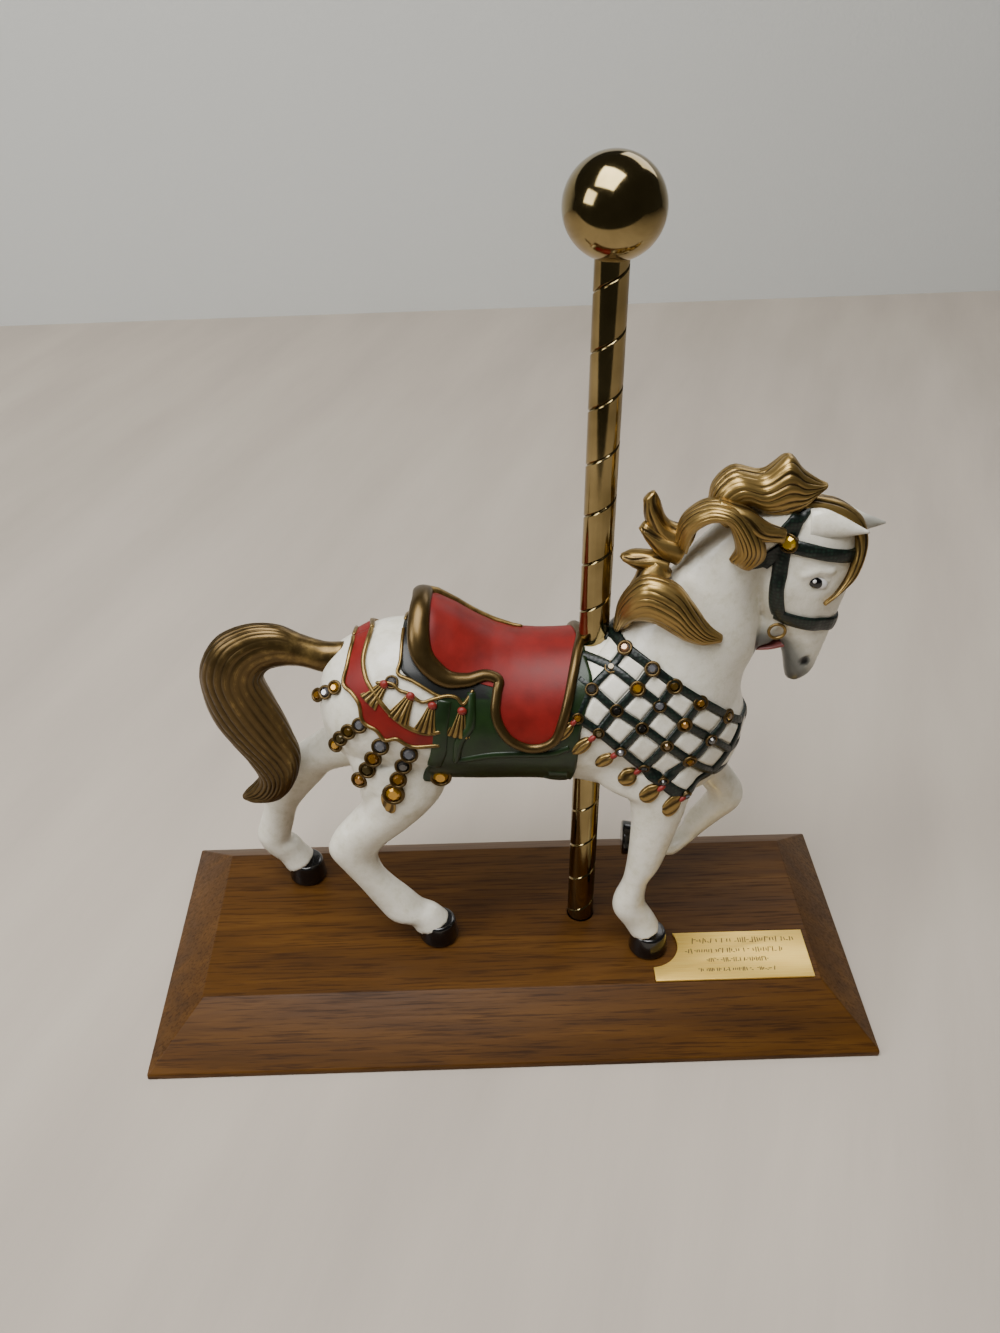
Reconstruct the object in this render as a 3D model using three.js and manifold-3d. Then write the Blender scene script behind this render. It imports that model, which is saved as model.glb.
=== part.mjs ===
import * as THREE from "three";
import { mergeVertices } from "three/addons/utils/BufferGeometryUtils.js";
import Module from "manifold-3d";

const wasm = await Module();
wasm.setup();

// Stand
const BOARD_LENGTH = 254;
const BOARD_WIDTH = 110;
const BOARD_HEIGHT = 18;
const BOARD_END_BEVEL = 18;
const BOARD_SIDE_BEVEL = 20;
const BOARD_LOW_EDGE = 2.4;
const GAP = 0.3;

// Pole and ball
const POLE_X = 26.5;
const POLE_RADIUS = 4.76;
const POLE_SOCKET = 6;
const POLE_FIT = 0.3;
const BALL_RADIUS = 13.5;
const BALL_Z = 272.8;
const BALL_SOCKET = 6;

// Plate, notched round the near fore hoof
const PLATE_X = 50.3;
const PLATE_Y = -34.7;
const PLATE_LENGTH = 56.5;
const PLATE_WIDTH = 21.6;
const PLATE_THICK = 0.8;
const PLATE_NOTCH = 10.8;

// Horse on its stand
const HORSE_TURN = -4.5 * Math.PI / 180;
const SOLE_GAP = 0.3;
const HOOF_HEIGHT = 8.5;
const HOOVES = [
  [-25.5, -13.3, 7.3],
  [-79.1, 15.3, 7.2],
  [50.9, -16, 7.2],
];
const RAISED_HOOF = [45.4, 14, 43.4, 6.6];
const CORE_Z = 118;
const HEAD_CORE_X = 88.5;
const HEAD_REACH = 18;

// Tack sizes
const SINK = 1.2;
const SADDLE_THICK = 1.4;
const CANTLE_SPREAD = 48;
const BLANKET_THICK = 0.9;
const GIRTH_WIDTH = 7.5;
const CRUPPER_THICK = 1.1;
const STRAP_WIDTH = 2.5;
const STRAP_THICK = 1;
const BRIDLE_WIDTH = 3.6;
const BRIDLE_THICK = 1;
const BIT_RING = [81.9, -6.9, 150.4];
const BIT_RING_RADIUS = 2.6;
const BIT_RING_WIRE = 0.55;
const TASSEL_WIDTH = 5.6;
const TASSEL_THICK = 2.8;
const JEWEL_HEIGHT = 1.4;
const JEWEL_TABLE = 0.62;

// Tack tables: cantle rise at x; saddle, blanket and border by angle round the body
const CANTLE = [[-32, 8.5], [-28, 10.5], [-23, 10], [-17, 7.5], [-11, 4.6], [-5, 2], [1, 0.6], [24, 0]];
const SADDLE = [
  [0, -27, 22],
  [13, -29.6, 21.4],
  [26, -28.4, 20.6],
  [36, -23, 20],
  [42, -12, 19.6],
  [47, -3.2, 19],
  [58, -3.6, 18.4],
  [70, -3, 17.4],
  [82, -0.4, 16],
  [93, 6, 11.6],
];
const BORDER = [
  [22.4, 2, 1.6],
  [21.4, 16, 1.6],
  [20.2, 34, 1.6],
  [18.8, 55, 1.6],
  [17.2, 72, 1.6],
  [15.2, 86, 1.6],
  [11.2, 93, 1.6],
  [6.2, 93.5, 1.6],
  [1, 87, 1.6],
  [-2.2, 76, 1.6],
  [-3.6, 64, 1.6],
  [-3.2, 50, 1.6],
  [-3, 41, 1.7],
  [-7, 38, 1.8],
  [-12.5, 42, 2],
  [-18.5, 42, 2.3],
  [-23.8, 36.5, 2.5],
  [-28, 29, 2.6],
  [-30, 20, 2.6],
  [-29, 9, 2.6],
  [-27, 0, 2.6],
];
const BLANKET = [
  [0, -33.6, 23],
  [20, -33.6, 24],
  [37, -33, 26],
  [45, -29, 26],
  [52, -23, 25.4],
  [58, -19.4, 24.6],
  [78, -20.4, 23],
  [100, -22.2, 22.4],
  [118, -24.6, 22],
  [132, -27.6, 21],
  [141, -21, 20.6],
];
const GIRTH = [[15.6, -19, 100], [15.6, -14, 94], [15.6, -6, 91], [15.6, 6, 91], [15.6, 14, 94], [15.6, 19, 100]];
const CRUPPER = [
  [-45.2, 1.5, 142],
  [-46.5, -5.7, 140.7],
  [-46.7, -11.6, 137.1],
  [-46.2, -15.3, 133.4],
  [-43.4, -19.1, 128.5],
  [-39.7, -21.5, 124.6],
  [-34.5, -22.5, 121.6],
  [-28.3, -23, 119.5],
  [-21, -23.3, 119.5],
];
const CRUPPER_WIDTHS = [3.4, 4, 5.4, 7.4, 9, 9, 8, 7.4, 7.4];
const LATTICE = [
  [[31.5, -1.1, 145.2], [35.9, -9.8, 144.9], [44, -15.6, 141.5], [51, -17.9, 137.2],
    [59.4, -17.4, 130.9], [68.7, -12.5, 122], [74, -7.8, 117]],
  [[25.8, -9, 140.9], [31.8, -12.4, 139.4], [39.9, -16.8, 135.1], [46.9, -19.1, 130.5],
    [54.9, -19.4, 123.8], [63.9, -16.5, 115.9], [71, -12, 108.3]],
  [[25.9, -16.3, 134], [33.7, -19.9, 128.7], [41.7, -20.8, 123.3], [49.9, -20.7, 116.5],
    [57.8, -18.9, 109], [66.1, -13.7, 100.7]],
  [[21.8, -20.6, 126], [28.4, -21.7, 121.6], [35.5, -22.1, 115.1], [43.4, -21.2, 107],
    [49.8, -21.2, 101.8], [57.6, -19.1, 95.2]],
];
const CROSS_SHIFT = [1, 1, 0, 0];
const CHEST_EDGE = [[74.3, -7.6, 117.5], [73.1, -9.5, 113], [71.2, -11.6, 108.3], [66.3, -13.8, 100.7],
  [62.4, -16, 97], [57.6, -19.1, 95.2]];
const CHEST_TASSELS = [
  [[20.3, -21.2, 124.5], [14.6, -22.5, 118.6]],
  [[26.1, -22.2, 119.3], [20.4, -22.4, 113.6]],
  [[33.3, -22.1, 113], [28, -21.5, 108.4]],
  [[41.2, -21.2, 105.6], [35.3, -21.6, 102.2]],
  [[49, -21.7, 100], [42.4, -22.2, 96.2]],
  [[56.4, -20.1, 94.5], [50.1, -22.3, 91.2]],
];
const GARLAND_TASSELS = [
  [[-38.5, -17.7, 134.3], [-43.4, -19.1, 128.5]],
  [[-30.1, -19.7, 131.6], [-34.4, -22, 124.4]],
  [[-23.2, -20.9, 129.1], [-25.3, -23.1, 120.9]],
  [[-14, -21.2, 127.6], [-15.4, -23.3, 119.7]],
];
const HAUNCH_TASSEL = [[-38, -22, 93.4], [-40.2, -22.3, 87.2]];
const BRIDLE = [
  [[78.6, -4, 155.6], [80, -5.4, 155.8], [83.1, -6.8, 155.8], [90.4, -7.6, 154.6], [98.5, -4, 152.6],
    [101.4, 0.6, 151.2]],
  [[81.1, -7.4, 179.5], [80.6, -7.8, 172.2], [80.4, -7.7, 165.3], [80.8, -6.5, 156.5]],
  [[80.6, -6.1, 180.4], [75, -7.2, 175.9], [73.2, -7.7, 173.6]],
  [[82.8, -7.8, 181.6], [89.1, -8.9, 179.9], [95, -8.1, 178.6], [100, -6, 177], [103.4, 0.6, 176.4]],
  [[81.6, -6.7, 182.6], [85.3, -5.3, 188.6], [88, -2.4, 190.6]],
];

// Jewels: name, radius, colour, height of what each sits on, places
const AMBER = "#b5791c";
const CLEAR = "#c9c6bd";
const JEWELS = [
  ["lattice_jewel_a", 1.7, AMBER, STRAP_THICK, [...LATTICE[0].slice(1, 6), LATTICE[1][2], LATTICE[1][4],
    LATTICE[2][4]]],
  ["lattice_jewel_b", 1.7, CLEAR, STRAP_THICK, [LATTICE[1][1], LATTICE[1][3], LATTICE[1][5],
    ...LATTICE[2].slice(0, 4)]],
  ["lattice_jewel_c", 1.7, AMBER, STRAP_THICK, LATTICE[3]],
  ["string_jewel_a", 1.6, AMBER, 0.3, [[-54.1, -12.8, 129.8], [-57.3, -11.6, 127], [-59.4, -8.6, 123.6]]],
  ["string_jewel_b", 1.8, AMBER, 0.3, [[-46.3, -20.1, 121.3], [-50, -19, 118.1], [-53, -17.4, 113.8],
    [-55.2, -14.5, 109]]],
  ["string_jewel_c", 2.2, AMBER, 0.3, [[-40, -22.2, 115], [-43, -20, 108.4], [-45.4, -19.6, 102.8],
    [-48.2, -18, 97.4]]],
  ["string_jewel_d", 2.2, AMBER, 0.3, [[-31, -22.4, 112.3], [-33.4, -20.3, 106.6], [-35.3, -21.4, 101.4]]],
  ["haunch_jewel", 2.9, AMBER, 0.3, [[-37, -21.9, 95.2]]],
  ["blanket_jewel", 2.8, AMBER, BLANKET_THICK, [[-21.8, -18.2, 100.6]]],
  ["garland_jewel", 1.8, CLEAR, 0.6, [[-35.9, -17, 135.5]]],
  ["cheek_jewel", 2.4, "#d9b22a", 1.4, [[81.3, -7.6, 181.5]], "head"],
];

// Each row of a form: outline point x, z, facing outline point x, z, middle y, half width.
const TORSO = [
  [-61.9, 123.7, -62.3, 110, 0, 6],
  [-58.8, 133.2, -59.2, 101.4, 0, 13],
  [-51, 139.3, -51, 93, 0, 19],
  [-40, 144.7, -39, 90.4, 0, 22.5],
  [-26, 144.9, -25, 90.1, 0, 23.3],
  [-9, 141.6, -9, 90.9, 0, 23.5],
  [8, 140, 8, 91.6, 0, 23],
  [23.9, 141.9, 23.1, 89.8, 0, 22.5],
  [39.7, 146.5, 38, 84.9, 0, 22],
  [54.4, 143.8, 51.8, 82.4, 0, 20.5],
  [66.2, 137.3, 64.5, 85.5, 0, 16.5],
  [73.1, 128.7, 72.7, 96.9, 0, 10.5],
  [76, 119.2, 75.6, 107.8, 0, 4],
];
const NECK = [
  [25.3, 139.2, 74.8, 111.7, 0, 20],
  [34.2, 148.5, 74.4, 123.7, 0, 18],
  [41, 156.8, 74.9, 132.6, 0, 15.5],
  [47.7, 165.2, 77.8, 141.5, 0, 13],
  [53.4, 173.5, 77.5, 151.3, 0, 11],
  [58.8, 180.5, 75.3, 161.3, 0, 9.8],
  [64.1, 185.7, 77.2, 171.2, 0, 8.8],
  [71, 190.5, 82, 180.2, 0, 8.2],
  [79.8, 191.9, 88.6, 184.4, 0, 7.5],
];
const HEAD = [
  [81.8, 190.3, 93.3, 192.7, 0, 4.5],
  [77.5, 185.2, 100, 188.6, 0, 7.6],
  [74.7, 176.2, 102.8, 179.8, 0, 9.2],
  [73.6, 167.2, 103.1, 169.6, 0, 9.4],
  [74.8, 160.3, 102.1, 161.7, 0, 8.8],
  [77.4, 154.5, 100.7, 154.7, 0, 7.6],
  [80.6, 149.6, 99.8, 149.1, 0, 6.4],
  [83.8, 144, 98.6, 143.4, 0, 5.6],
  [85.9, 138.2, 97.5, 138.2, 0, 5.2],
  [87, 133.2, 96.1, 132.9, 0, 4.8],
  [88.2, 128.7, 93.9, 130.4, 0, 3.2],
];
const JAW = [
  [78.6, 152.9, 87, 149.4, 0, 5.6],
  [78.2, 147.8, 83.7, 144.6, 0, 4.4],
  [77, 143.1, 80.9, 141.1, 0, 3.6],
  [76.7, 140, 79.1, 138.3, 0, 2.2],
];
const NEAR_EAR = [
  [88.6, 191.7, 88.1, 181.1, -5.5, 3],
  [93.7, 190.2, 94.2, 181.3, -5.8, 2.6],
  [98.9, 186.8, 99.3, 183.3, -6, 1.7],
  [103.8, 185.3, 103.8, 184.6, -6, 0.6],
];
const FAR_EAR = [
  [92, 190, 92, 182, 5, 3],
  [97.7, 188, 98.2, 180.9, 5.8, 2.5],
  [104.6, 185.3, 104.6, 180.4, 6, 1.6],
  [111.1, 182.3, 110.9, 181.4, 6, 0.6],
];
const NEAR_HIND = [
  [-54.4, 104, -17.6, 102, -10, 11.5],
  [-50.2, 88.6, -21.1, 89.5, -12, 10.5],
  [-50.1, 81.2, -26, 81.8, -13, 8.8],
  [-54.8, 75.1, -33.4, 73.3, -13.3, 7.4],
  [-60.6, 67.2, -41.5, 65.2, -13.3, 6.2],
  [-62.9, 59.7, -45.6, 58.3, -13.3, 5.6],
  [-59.1, 52.6, -44.1, 50.8, -13.3, 5],
  [-53.6, 43.7, -40.3, 45.6, -13.3, 4.6],
  [-47.8, 33.7, -35.6, 40.8, -13.3, 4.8],
  [-43.1, 27.4, -30.2, 34.1, -13.3, 5.8],
  [-36.3, 25.3, -25.8, 32.2, -13.3, 5.4],
  [-34, 21.6, -21.4, 27.3, -13.3, 6.2],
];
const FAR_HIND = [
  [-60.3, 112, -31.1, 98.4, 11, 11],
  [-64.6, 94.6, -47.8, 82, 13, 9],
  [-75.4, 84.4, -62.9, 75.3, 14.3, 7.3],
  [-85, 76.8, -69.6, 67.7, 14.8, 6.3],
  [-91.9, 65.6, -75.7, 60.1, 14.8, 5.7],
  [-91.9, 55.7, -79.7, 53.8, 15, 5],
  [-94.3, 47.3, -81.9, 46.2, 15, 4.8],
  [-96.5, 39.7, -83.7, 38.4, 15, 5.4],
  [-94.3, 32.6, -81.1, 36.1, 15.3, 5.6],
  [-89.4, 27.3, -79.3, 33.2, 15.3, 5.2],
  [-87, 22.6, -75.9, 28.5, 15.3, 6.2],
];
const NEAR_FORE = [
  [19.7, 106.2, 63.9, 103, -11.5, 10.5],
  [28.7, 95.8, 62.1, 95.1, -13, 9.5],
  [38.2, 91.2, 60, 90.2, -14.5, 8],
  [40.9, 83.7, 58.5, 83.5, -15.5, 6.8],
  [41.3, 72.2, 55.9, 73.2, -16, 6],
  [40.8, 59.1, 52.5, 60, -16, 5.4],
  [39.8, 51, 49, 52.2, -16, 4.7],
  [37.2, 42.7, 48.2, 44.6, -16, 5.2],
  [37.4, 37.2, 49, 39.7, -16, 5.5],
  [41.3, 30.7, 52, 34.5, -16, 5],
  [44, 25.8, 54.6, 29, -16, 5.9],
];
const FAR_FORE = [
  [42.8, 106.9, 73.5, 102.9, 9.5, 10],
  [52.8, 91.7, 75, 91.1, 12, 8.4],
  [60.8, 80, 76.4, 81.1, 13.5, 6.9],
  [68.2, 71.6, 80.4, 75, 14, 6],
  [70.6, 67.3, 83.5, 68.7, 14, 5.8],
  [69.6, 63.8, 82.8, 62.7, 14, 5.6],
  [67.2, 59.9, 77.5, 56.4, 14, 5],
  [64.3, 54.9, 71.8, 49.8, 14, 4.6],
  [62.7, 48.1, 66.1, 43.3, 14, 4.8],
  [57.8, 44.2, 60.4, 37.6, 14, 5.2],
  [52.8, 45.1, 53.4, 39, 14, 4.8],
  [49.6, 47.4, 49.9, 39.4, 14, 5.6],
];
const TAIL = [
  [-53.3, 138.1, -58, 126, 0, 4.4],
  [-59.5, 137.9, -62.5, 127.8, 0, 4.6],
  [-66.6, 140.2, -67.5, 129.4, 0, 4.8],
  [-74.8, 144.1, -72.9, 129.3, 0, 5.3],
  [-85.1, 143.8, -78.2, 127.7, 0, 6],
  [-95.2, 138.6, -80.7, 124.6, 0, 7],
  [-101.5, 128, -80.8, 121.5, 0, 7.8],
  [-102, 116.6, -78.8, 115.4, 0, 8],
  [-99.8, 106.4, -76, 107.4, 0, 8],
  [-95.6, 98.4, -73.7, 99.3, 0, 7.8],
  [-91.6, 91.5, -72.1, 92.2, 0, 7.2],
  [-88.1, 84, -72.9, 85.5, 0, 6.4],
  [-88.1, 80.4, -75.9, 77.6, 0, 5.6],
  [-90.6, 77.1, -81.2, 71.4, 0, 4.5],
  [-93, 74.6, -89.2, 69.5, 0, 3],
  [-94.7, 72.3, -93.6, 70.4, 0, 1.4],
];
const LOW_LOCK = [
  [32.2, 147.8, 35.4, 150, -2, 4.5],
  [33.6, 160.9, 38.6, 154.5, -7, 5.5],
  [39.8, 171, 43.5, 155.6, -10.5, 6],
  [49.2, 169.8, 49.6, 152.6, -12, 6],
  [55, 163.6, 53.4, 150.9, -13, 5.4],
  [59.6, 157.1, 58.5, 149.8, -13.3, 4],
  [64.6, 152.6, 63.7, 150.4, -13, 2],
];
const BACK_LOCKS = [
  [
    [48.3, 173.7, 45.7, 166.6, -2, 4],
    [42.6, 174.7, 41.8, 167.7, -1.5, 4],
    [36.9, 174.6, 37.7, 168.7, -1, 3.4],
    [33.5, 173.2, 34.2, 170.8, -1, 1.6],
  ],
  [
    [53.2, 179.9, 49.6, 170.6, -2, 4],
    [46, 181.1, 44.7, 173.2, -1.5, 4],
    [40.4, 184.2, 40.7, 177.6, -1, 3],
    [38.6, 182.8, 39.1, 180.4, -1, 1.6],
  ],
  [
    [55.3, 182.5, 51.7, 175, -1, 4],
    [47.1, 184.4, 44.9, 177.3, 0, 4],
    [43.7, 191.5, 40, 183.8, 0, 3.2],
    [42.2, 193.8, 38.9, 190.9, 0, 1.8],
  ],
];
const MIDDLE_LOCK = [
  [48.6, 180.7, 52.7, 175.9, -4, 4],
  [50, 188.5, 54.1, 184.1, -6, 5],
  [56.2, 194.7, 57.9, 188.7, -8, 5.6],
  [63.9, 194.6, 62.1, 189, -9.5, 5.6],
  [70, 189.4, 64.4, 184.6, -10.5, 5.2],
  [73.7, 183.3, 65.3, 180.5, -11, 4.6],
  [74.3, 177.8, 64.1, 177.1, -10.5, 3],
  [70.7, 173.6, 66.5, 175.2, -10, 1.4],
];
const THIN_LOCK = [
  [60, 196.1, 58.4, 190, -8, 3.6],
  [68.2, 193.7, 64.7, 187.8, -10, 3.8],
  [73.7, 189.7, 70.7, 184, -10.5, 3.4],
  [79.6, 186.8, 78.8, 182.4, -9.5, 2],
];
const TOP_LOCK = [
  [57.5, 190.2, 64.6, 183.7, -1, 6],
  [58.4, 197.3, 66.4, 189.1, -1.5, 7],
  [63.6, 202.4, 70.4, 190.5, -1.5, 7.5],
  [72.1, 201.4, 74.5, 188.4, -1.5, 7.5],
  [78.7, 206.6, 80.5, 187.2, -1.5, 7],
  [83.9, 201.8, 84.8, 189.9, -1.5, 5.6],
  [88.6, 198.6, 88.2, 194.3, -1.5, 3.6],
  [91, 197.7, 90.5, 196.1, -1.5, 1.6],
];
const FORELOCK = [
  [89.6, 191.9, 90.4, 187.4, 0, 3.5],
  [96, 190.1, 94.3, 185.5, -0.5, 3.6],
  [102.4, 185, 98.9, 181.7, -1, 3.4],
  [105.3, 177.7, 100.7, 176.5, -2, 3],
  [103.8, 170.4, 99.8, 170.2, -3, 2.6],
  [100.1, 164.9, 96.8, 165.2, -4.5, 2],
  [95.3, 160.6, 93.8, 161.1, -6, 0.9],
];

// Closed body from any three.js geometry, faces out
function solid(geometry) {
  geometry.deleteAttribute("normal");
  geometry.deleteAttribute("uv");
  const merged = mergeVertices(geometry, 1e-4);
  const p = merged.attributes.position.array;
  const tris = Uint32Array.from(merged.index.array);
  let volume = 0;
  for (let i = 0; i < tris.length; i += 3) {
    const [a, b, c] = [3 * tris[i], 3 * tris[i + 1], 3 * tris[i + 2]];
    volume += p[a] * (p[b + 1] * p[c + 2] - p[b + 2] * p[c + 1]);
    volume += p[a + 1] * (p[b + 2] * p[c] - p[b] * p[c + 2]);
    volume += p[a + 2] * (p[b] * p[c + 1] - p[b + 1] * p[c]);
  }
  if (volume < 0) {
    for (let i = 0; i < tris.length; i += 3) {
      [tris[i + 1], tris[i + 2]] = [tris[i + 2], tris[i + 1]];
    }
  }
  return new wasm.Manifold(new wasm.Mesh({ numProp: 3, vertProperties: Float32Array.from(p), triVerts: tris }));
}

// Three.js geometry of a joined body
function shell(body) {
  const mesh = body.getMesh();
  const geometry = new THREE.BufferGeometry();
  geometry.setAttribute("position", new THREE.BufferAttribute(Float32Array.from(mesh.vertProperties), 3));
  geometry.setIndex(new THREE.BufferAttribute(Uint32Array.from(mesh.triVerts), 1));
  return geometry;
}

// Round form that follows its rows of outline pairs
function form(rows, sides, steps, bulge = 0) {
  const middle = rows.map((r) => new THREE.Vector3((r[0] + r[2]) / 2, r[4], (r[1] + r[3]) / 2));
  const reach = rows.map((r) => new THREE.Vector3((r[2] - r[0]) / 2, r[5], (r[3] - r[1]) / 2));
  const line = new THREE.CatmullRomCurve3(middle);
  const span = new THREE.CatmullRomCurve3(reach);
  const geometry = new THREE.CylinderGeometry(1, 1, 1, sides, steps);
  const at = geometry.attributes.position;
  for (let i = 0; i < at.count; i += 1) {
    const t = at.getY(i) + 0.5;
    const c = line.getPoint(t);
    const h = span.getPoint(t);
    if (Math.hypot(at.getX(i), at.getZ(i)) < 0.5) {
      c.addScaledVector(line.getTangent(t), t < 0.5 ? -bulge : bulge);
    }
    at.setXYZ(i, c.x + at.getZ(i) * h.x, c.y + at.getX(i) * h.y, c.z + at.getZ(i) * h.z);
  }
  return solid(geometry);
}

// White body
const limbs = [
  form(TORSO, 16, 12, 1.5),
  form(NECK, 12, 7),
  form(HEAD, 12, 10, 0.8),
  form(JAW, 8, 4, 0.6),
  form(NEAR_EAR, 6, 3),
  form(FAR_EAR, 6, 3),
  form(NEAR_HIND, 8, 11),
  form(FAR_HIND, 8, 11),
  form(NEAR_FORE, 8, 10),
  form(FAR_FORE, 8, 11),
];
const body = limbs.reduce((a, b) => a.add(b));

// Mane, forelock and tail
const hair = [
  form(TAIL, 8, 14, 0.6),
  form(LOW_LOCK, 8, 7, 0.5),
  ...BACK_LOCKS.map((rows) => form(rows, 6, 3, 0.8)),
  form(MIDDLE_LOCK, 6, 8, 0.6),
  form(THIN_LOCK, 6, 4, 0.5),
  form(TOP_LOCK, 8, 8, 0.6),
  form(FORELOCK, 6, 7, 0.3),
];

// Hooves, with flat soles just clear of the board
const hooves = HOOVES.map(([x, y, radius]) => {
  const hoof = new THREE.CylinderGeometry(0.82 * radius, radius, HOOF_HEIGHT, 12);
  hoof.rotateX(Math.PI / 2);
  hoof.translate(x, y, BOARD_HEIGHT + SOLE_GAP + HOOF_HEIGHT / 2);
  return solid(hoof);
});
const [raisedX, raisedY, raisedZ, raisedRadius] = RAISED_HOOF;
const raised = new THREE.CylinderGeometry(0.82 * raisedRadius, raisedRadius, HOOF_HEIGHT, 12);
raised.rotateZ(Math.PI / 2);
raised.translate(raisedX, raisedY, raisedZ);
hooves.push(solid(raised));

// Point on the body, and the way out of it, on the line from a core through p
const bodyMesh = new THREE.Mesh(shell(body));
const caster = new THREE.Raycaster();
function skin(p, core, reach) {
  const out = p.clone().sub(core).normalize();
  caster.set(core.clone().addScaledVector(out, reach), out.clone().negate());
  const hit = caster.intersectObject(bodyMesh)[0];
  return hit ? { at: hit.point, out, face: hit.face.normal.clone() } : { at: p.clone(), out, face: out };
}
const trunk = (p) => skin(p, new THREE.Vector3(THREE.MathUtils.clamp(p.x, -42, 52), 0, CORE_Z), 90);
const skull = (p) => skin(p, new THREE.Vector3(HEAD_CORE_X, 0, p.z), HEAD_REACH);
function around(x, degrees) {
  const angle = THREE.MathUtils.degToRad(degrees);
  return trunk(new THREE.Vector3(x, -Math.sin(angle), CORE_Z + Math.cos(angle)));
}

// Value at x of a table of [x, value] rows
function along(table, x) {
  const k = Math.max(1, table.findIndex(([at]) => at >= x));
  const [[x0, v0], [x1, v1]] = [table[k - 1], table[k]];
  return v0 + (v1 - v0) * THREE.MathUtils.clamp((x - x0) / (x1 - x0), 0, 1);
}

// Sheet over the back: rows of [angle from the spine, rear x, front x], the same on both sides
function patch(rows, across, lift) {
  const all = [...rows.slice(1).reverse().map(([a, r, f]) => [-a, r, f]), ...rows];
  const geometry = new THREE.BoxGeometry(1, 1, 1, across, all.length - 1, 1);
  const at = geometry.attributes.position;
  for (let i = 0; i < at.count; i += 1) {
    const [angle, rear, front] = all[Math.round((at.getY(i) + 0.5) * (all.length - 1))];
    const x = rear + (at.getX(i) + 0.5) * (front - rear);
    const s = around(x, angle);
    const p = s.at.addScaledVector(s.out, at.getZ(i) > 0 ? lift(x, angle) : -SINK);
    at.setXYZ(i, p.x, p.y, p.z);
  }
  return solid(geometry);
}

// Flat band on the body through points, with its width at each point
function band(points, widths, height, across, steps, on = trunk) {
  const line = new THREE.CatmullRomCurve3(points.map((p) => new THREE.Vector3(...p)));
  const width = new THREE.CatmullRomCurve3(widths.map((w) => new THREE.Vector3(w, 0, 0)));
  const geometry = new THREE.BoxGeometry(1, 1, 1, across, 1, steps);
  const at = geometry.attributes.position;
  for (let i = 0; i < at.count; i += 1) {
    const t = at.getZ(i) + 0.5;
    const s = on(line.getPoint(t));
    const side = line.getTangent(t).cross(s.out).normalize();
    const edge = on(s.at.addScaledVector(side, at.getX(i) * width.getPoint(t).x));
    const p = edge.at.addScaledVector(edge.out, at.getY(i) > 0 ? height : -SINK);
    at.setXYZ(i, p.x, p.y, p.z);
  }
  return solid(geometry);
}

// Round cord through stops of a point, its way out and a radius
function cord(stops, sides, steps) {
  const line = new THREE.CatmullRomCurve3(stops.map((s) => s.at));
  const outs = new THREE.CatmullRomCurve3(stops.map((s) => s.out));
  const radii = stops.map((s, k) => [k / (stops.length - 1), s.radius]);
  const geometry = new THREE.CylinderGeometry(1, 1, 1, sides, steps);
  const at = geometry.attributes.position;
  for (let i = 0; i < at.count; i += 1) {
    const t = at.getY(i) + 0.5;
    const tangent = line.getTangent(t);
    const side = tangent.clone().cross(outs.getPoint(t)).normalize();
    const up = side.clone().cross(tangent);
    const p = line.getPoint(t);
    p.addScaledVector(side, at.getX(i) * along(radii, t));
    p.addScaledVector(up, at.getZ(i) * along(radii, t));
    at.setXYZ(i, p.x, p.y, p.z);
  }
  return solid(geometry);
}

// Tassel: narrow at its knot, wide at its fringe, lying on the body
function tassel(top, end) {
  const a = trunk(new THREE.Vector3(...top));
  const b = trunk(new THREE.Vector3(...end));
  const geometry = new THREE.CylinderGeometry(0.35, 1, 1, 6, 1);
  const at = geometry.attributes.position;
  const side = b.at.clone().sub(a.at).cross(a.out).normalize();
  for (let i = 0; i < at.count; i += 1) {
    const p = a.at.clone().lerp(b.at, 0.5 - at.getY(i));
    p.addScaledVector(side, at.getX(i) * TASSEL_WIDTH / 2);
    p.addScaledVector(a.out, 0.4 + at.getZ(i) * TASSEL_THICK / 2);
    at.setXYZ(i, p.x, p.y, p.z);
  }
  return solid(geometry);
}

// Short post square to the body, from one height over it to another
function post(s, low, high, radius, topRadius, sides = 6) {
  const geometry = new THREE.CylinderGeometry(topRadius, radius, high - low, sides);
  geometry.translate(0, (low + high) / 2, 0);
  const way = s.face.clone().add(s.out).normalize();
  geometry.applyQuaternion(new THREE.Quaternion().setFromUnitVectors(new THREE.Vector3(0, 1, 0), way));
  geometry.translate(s.at.x, s.at.y, s.at.z);
  return geometry;
}

// Saddle with its cantle and flaps, and the rolled border round it
const seatRise = (x, angle) => {
  const fall = Math.cos(Math.min(1, Math.abs(angle) / CANTLE_SPREAD) * Math.PI / 2) ** 2;
  return SADDLE_THICK + along(CANTLE, x) * fall;
};
const saddle = patch(SADDLE, 4, seatRise);
const loop = [...BORDER, ...BORDER.slice(0, -1).reverse().map(([x, angle, radius]) => [x, -angle, radius])];
const rolled = cord(loop.map(([x, angle, radius]) => {
  const s = around(x, angle);
  return { at: s.at.addScaledVector(s.out, seatRise(x, angle)), out: s.out, radius };
}), 4, 48);

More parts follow.
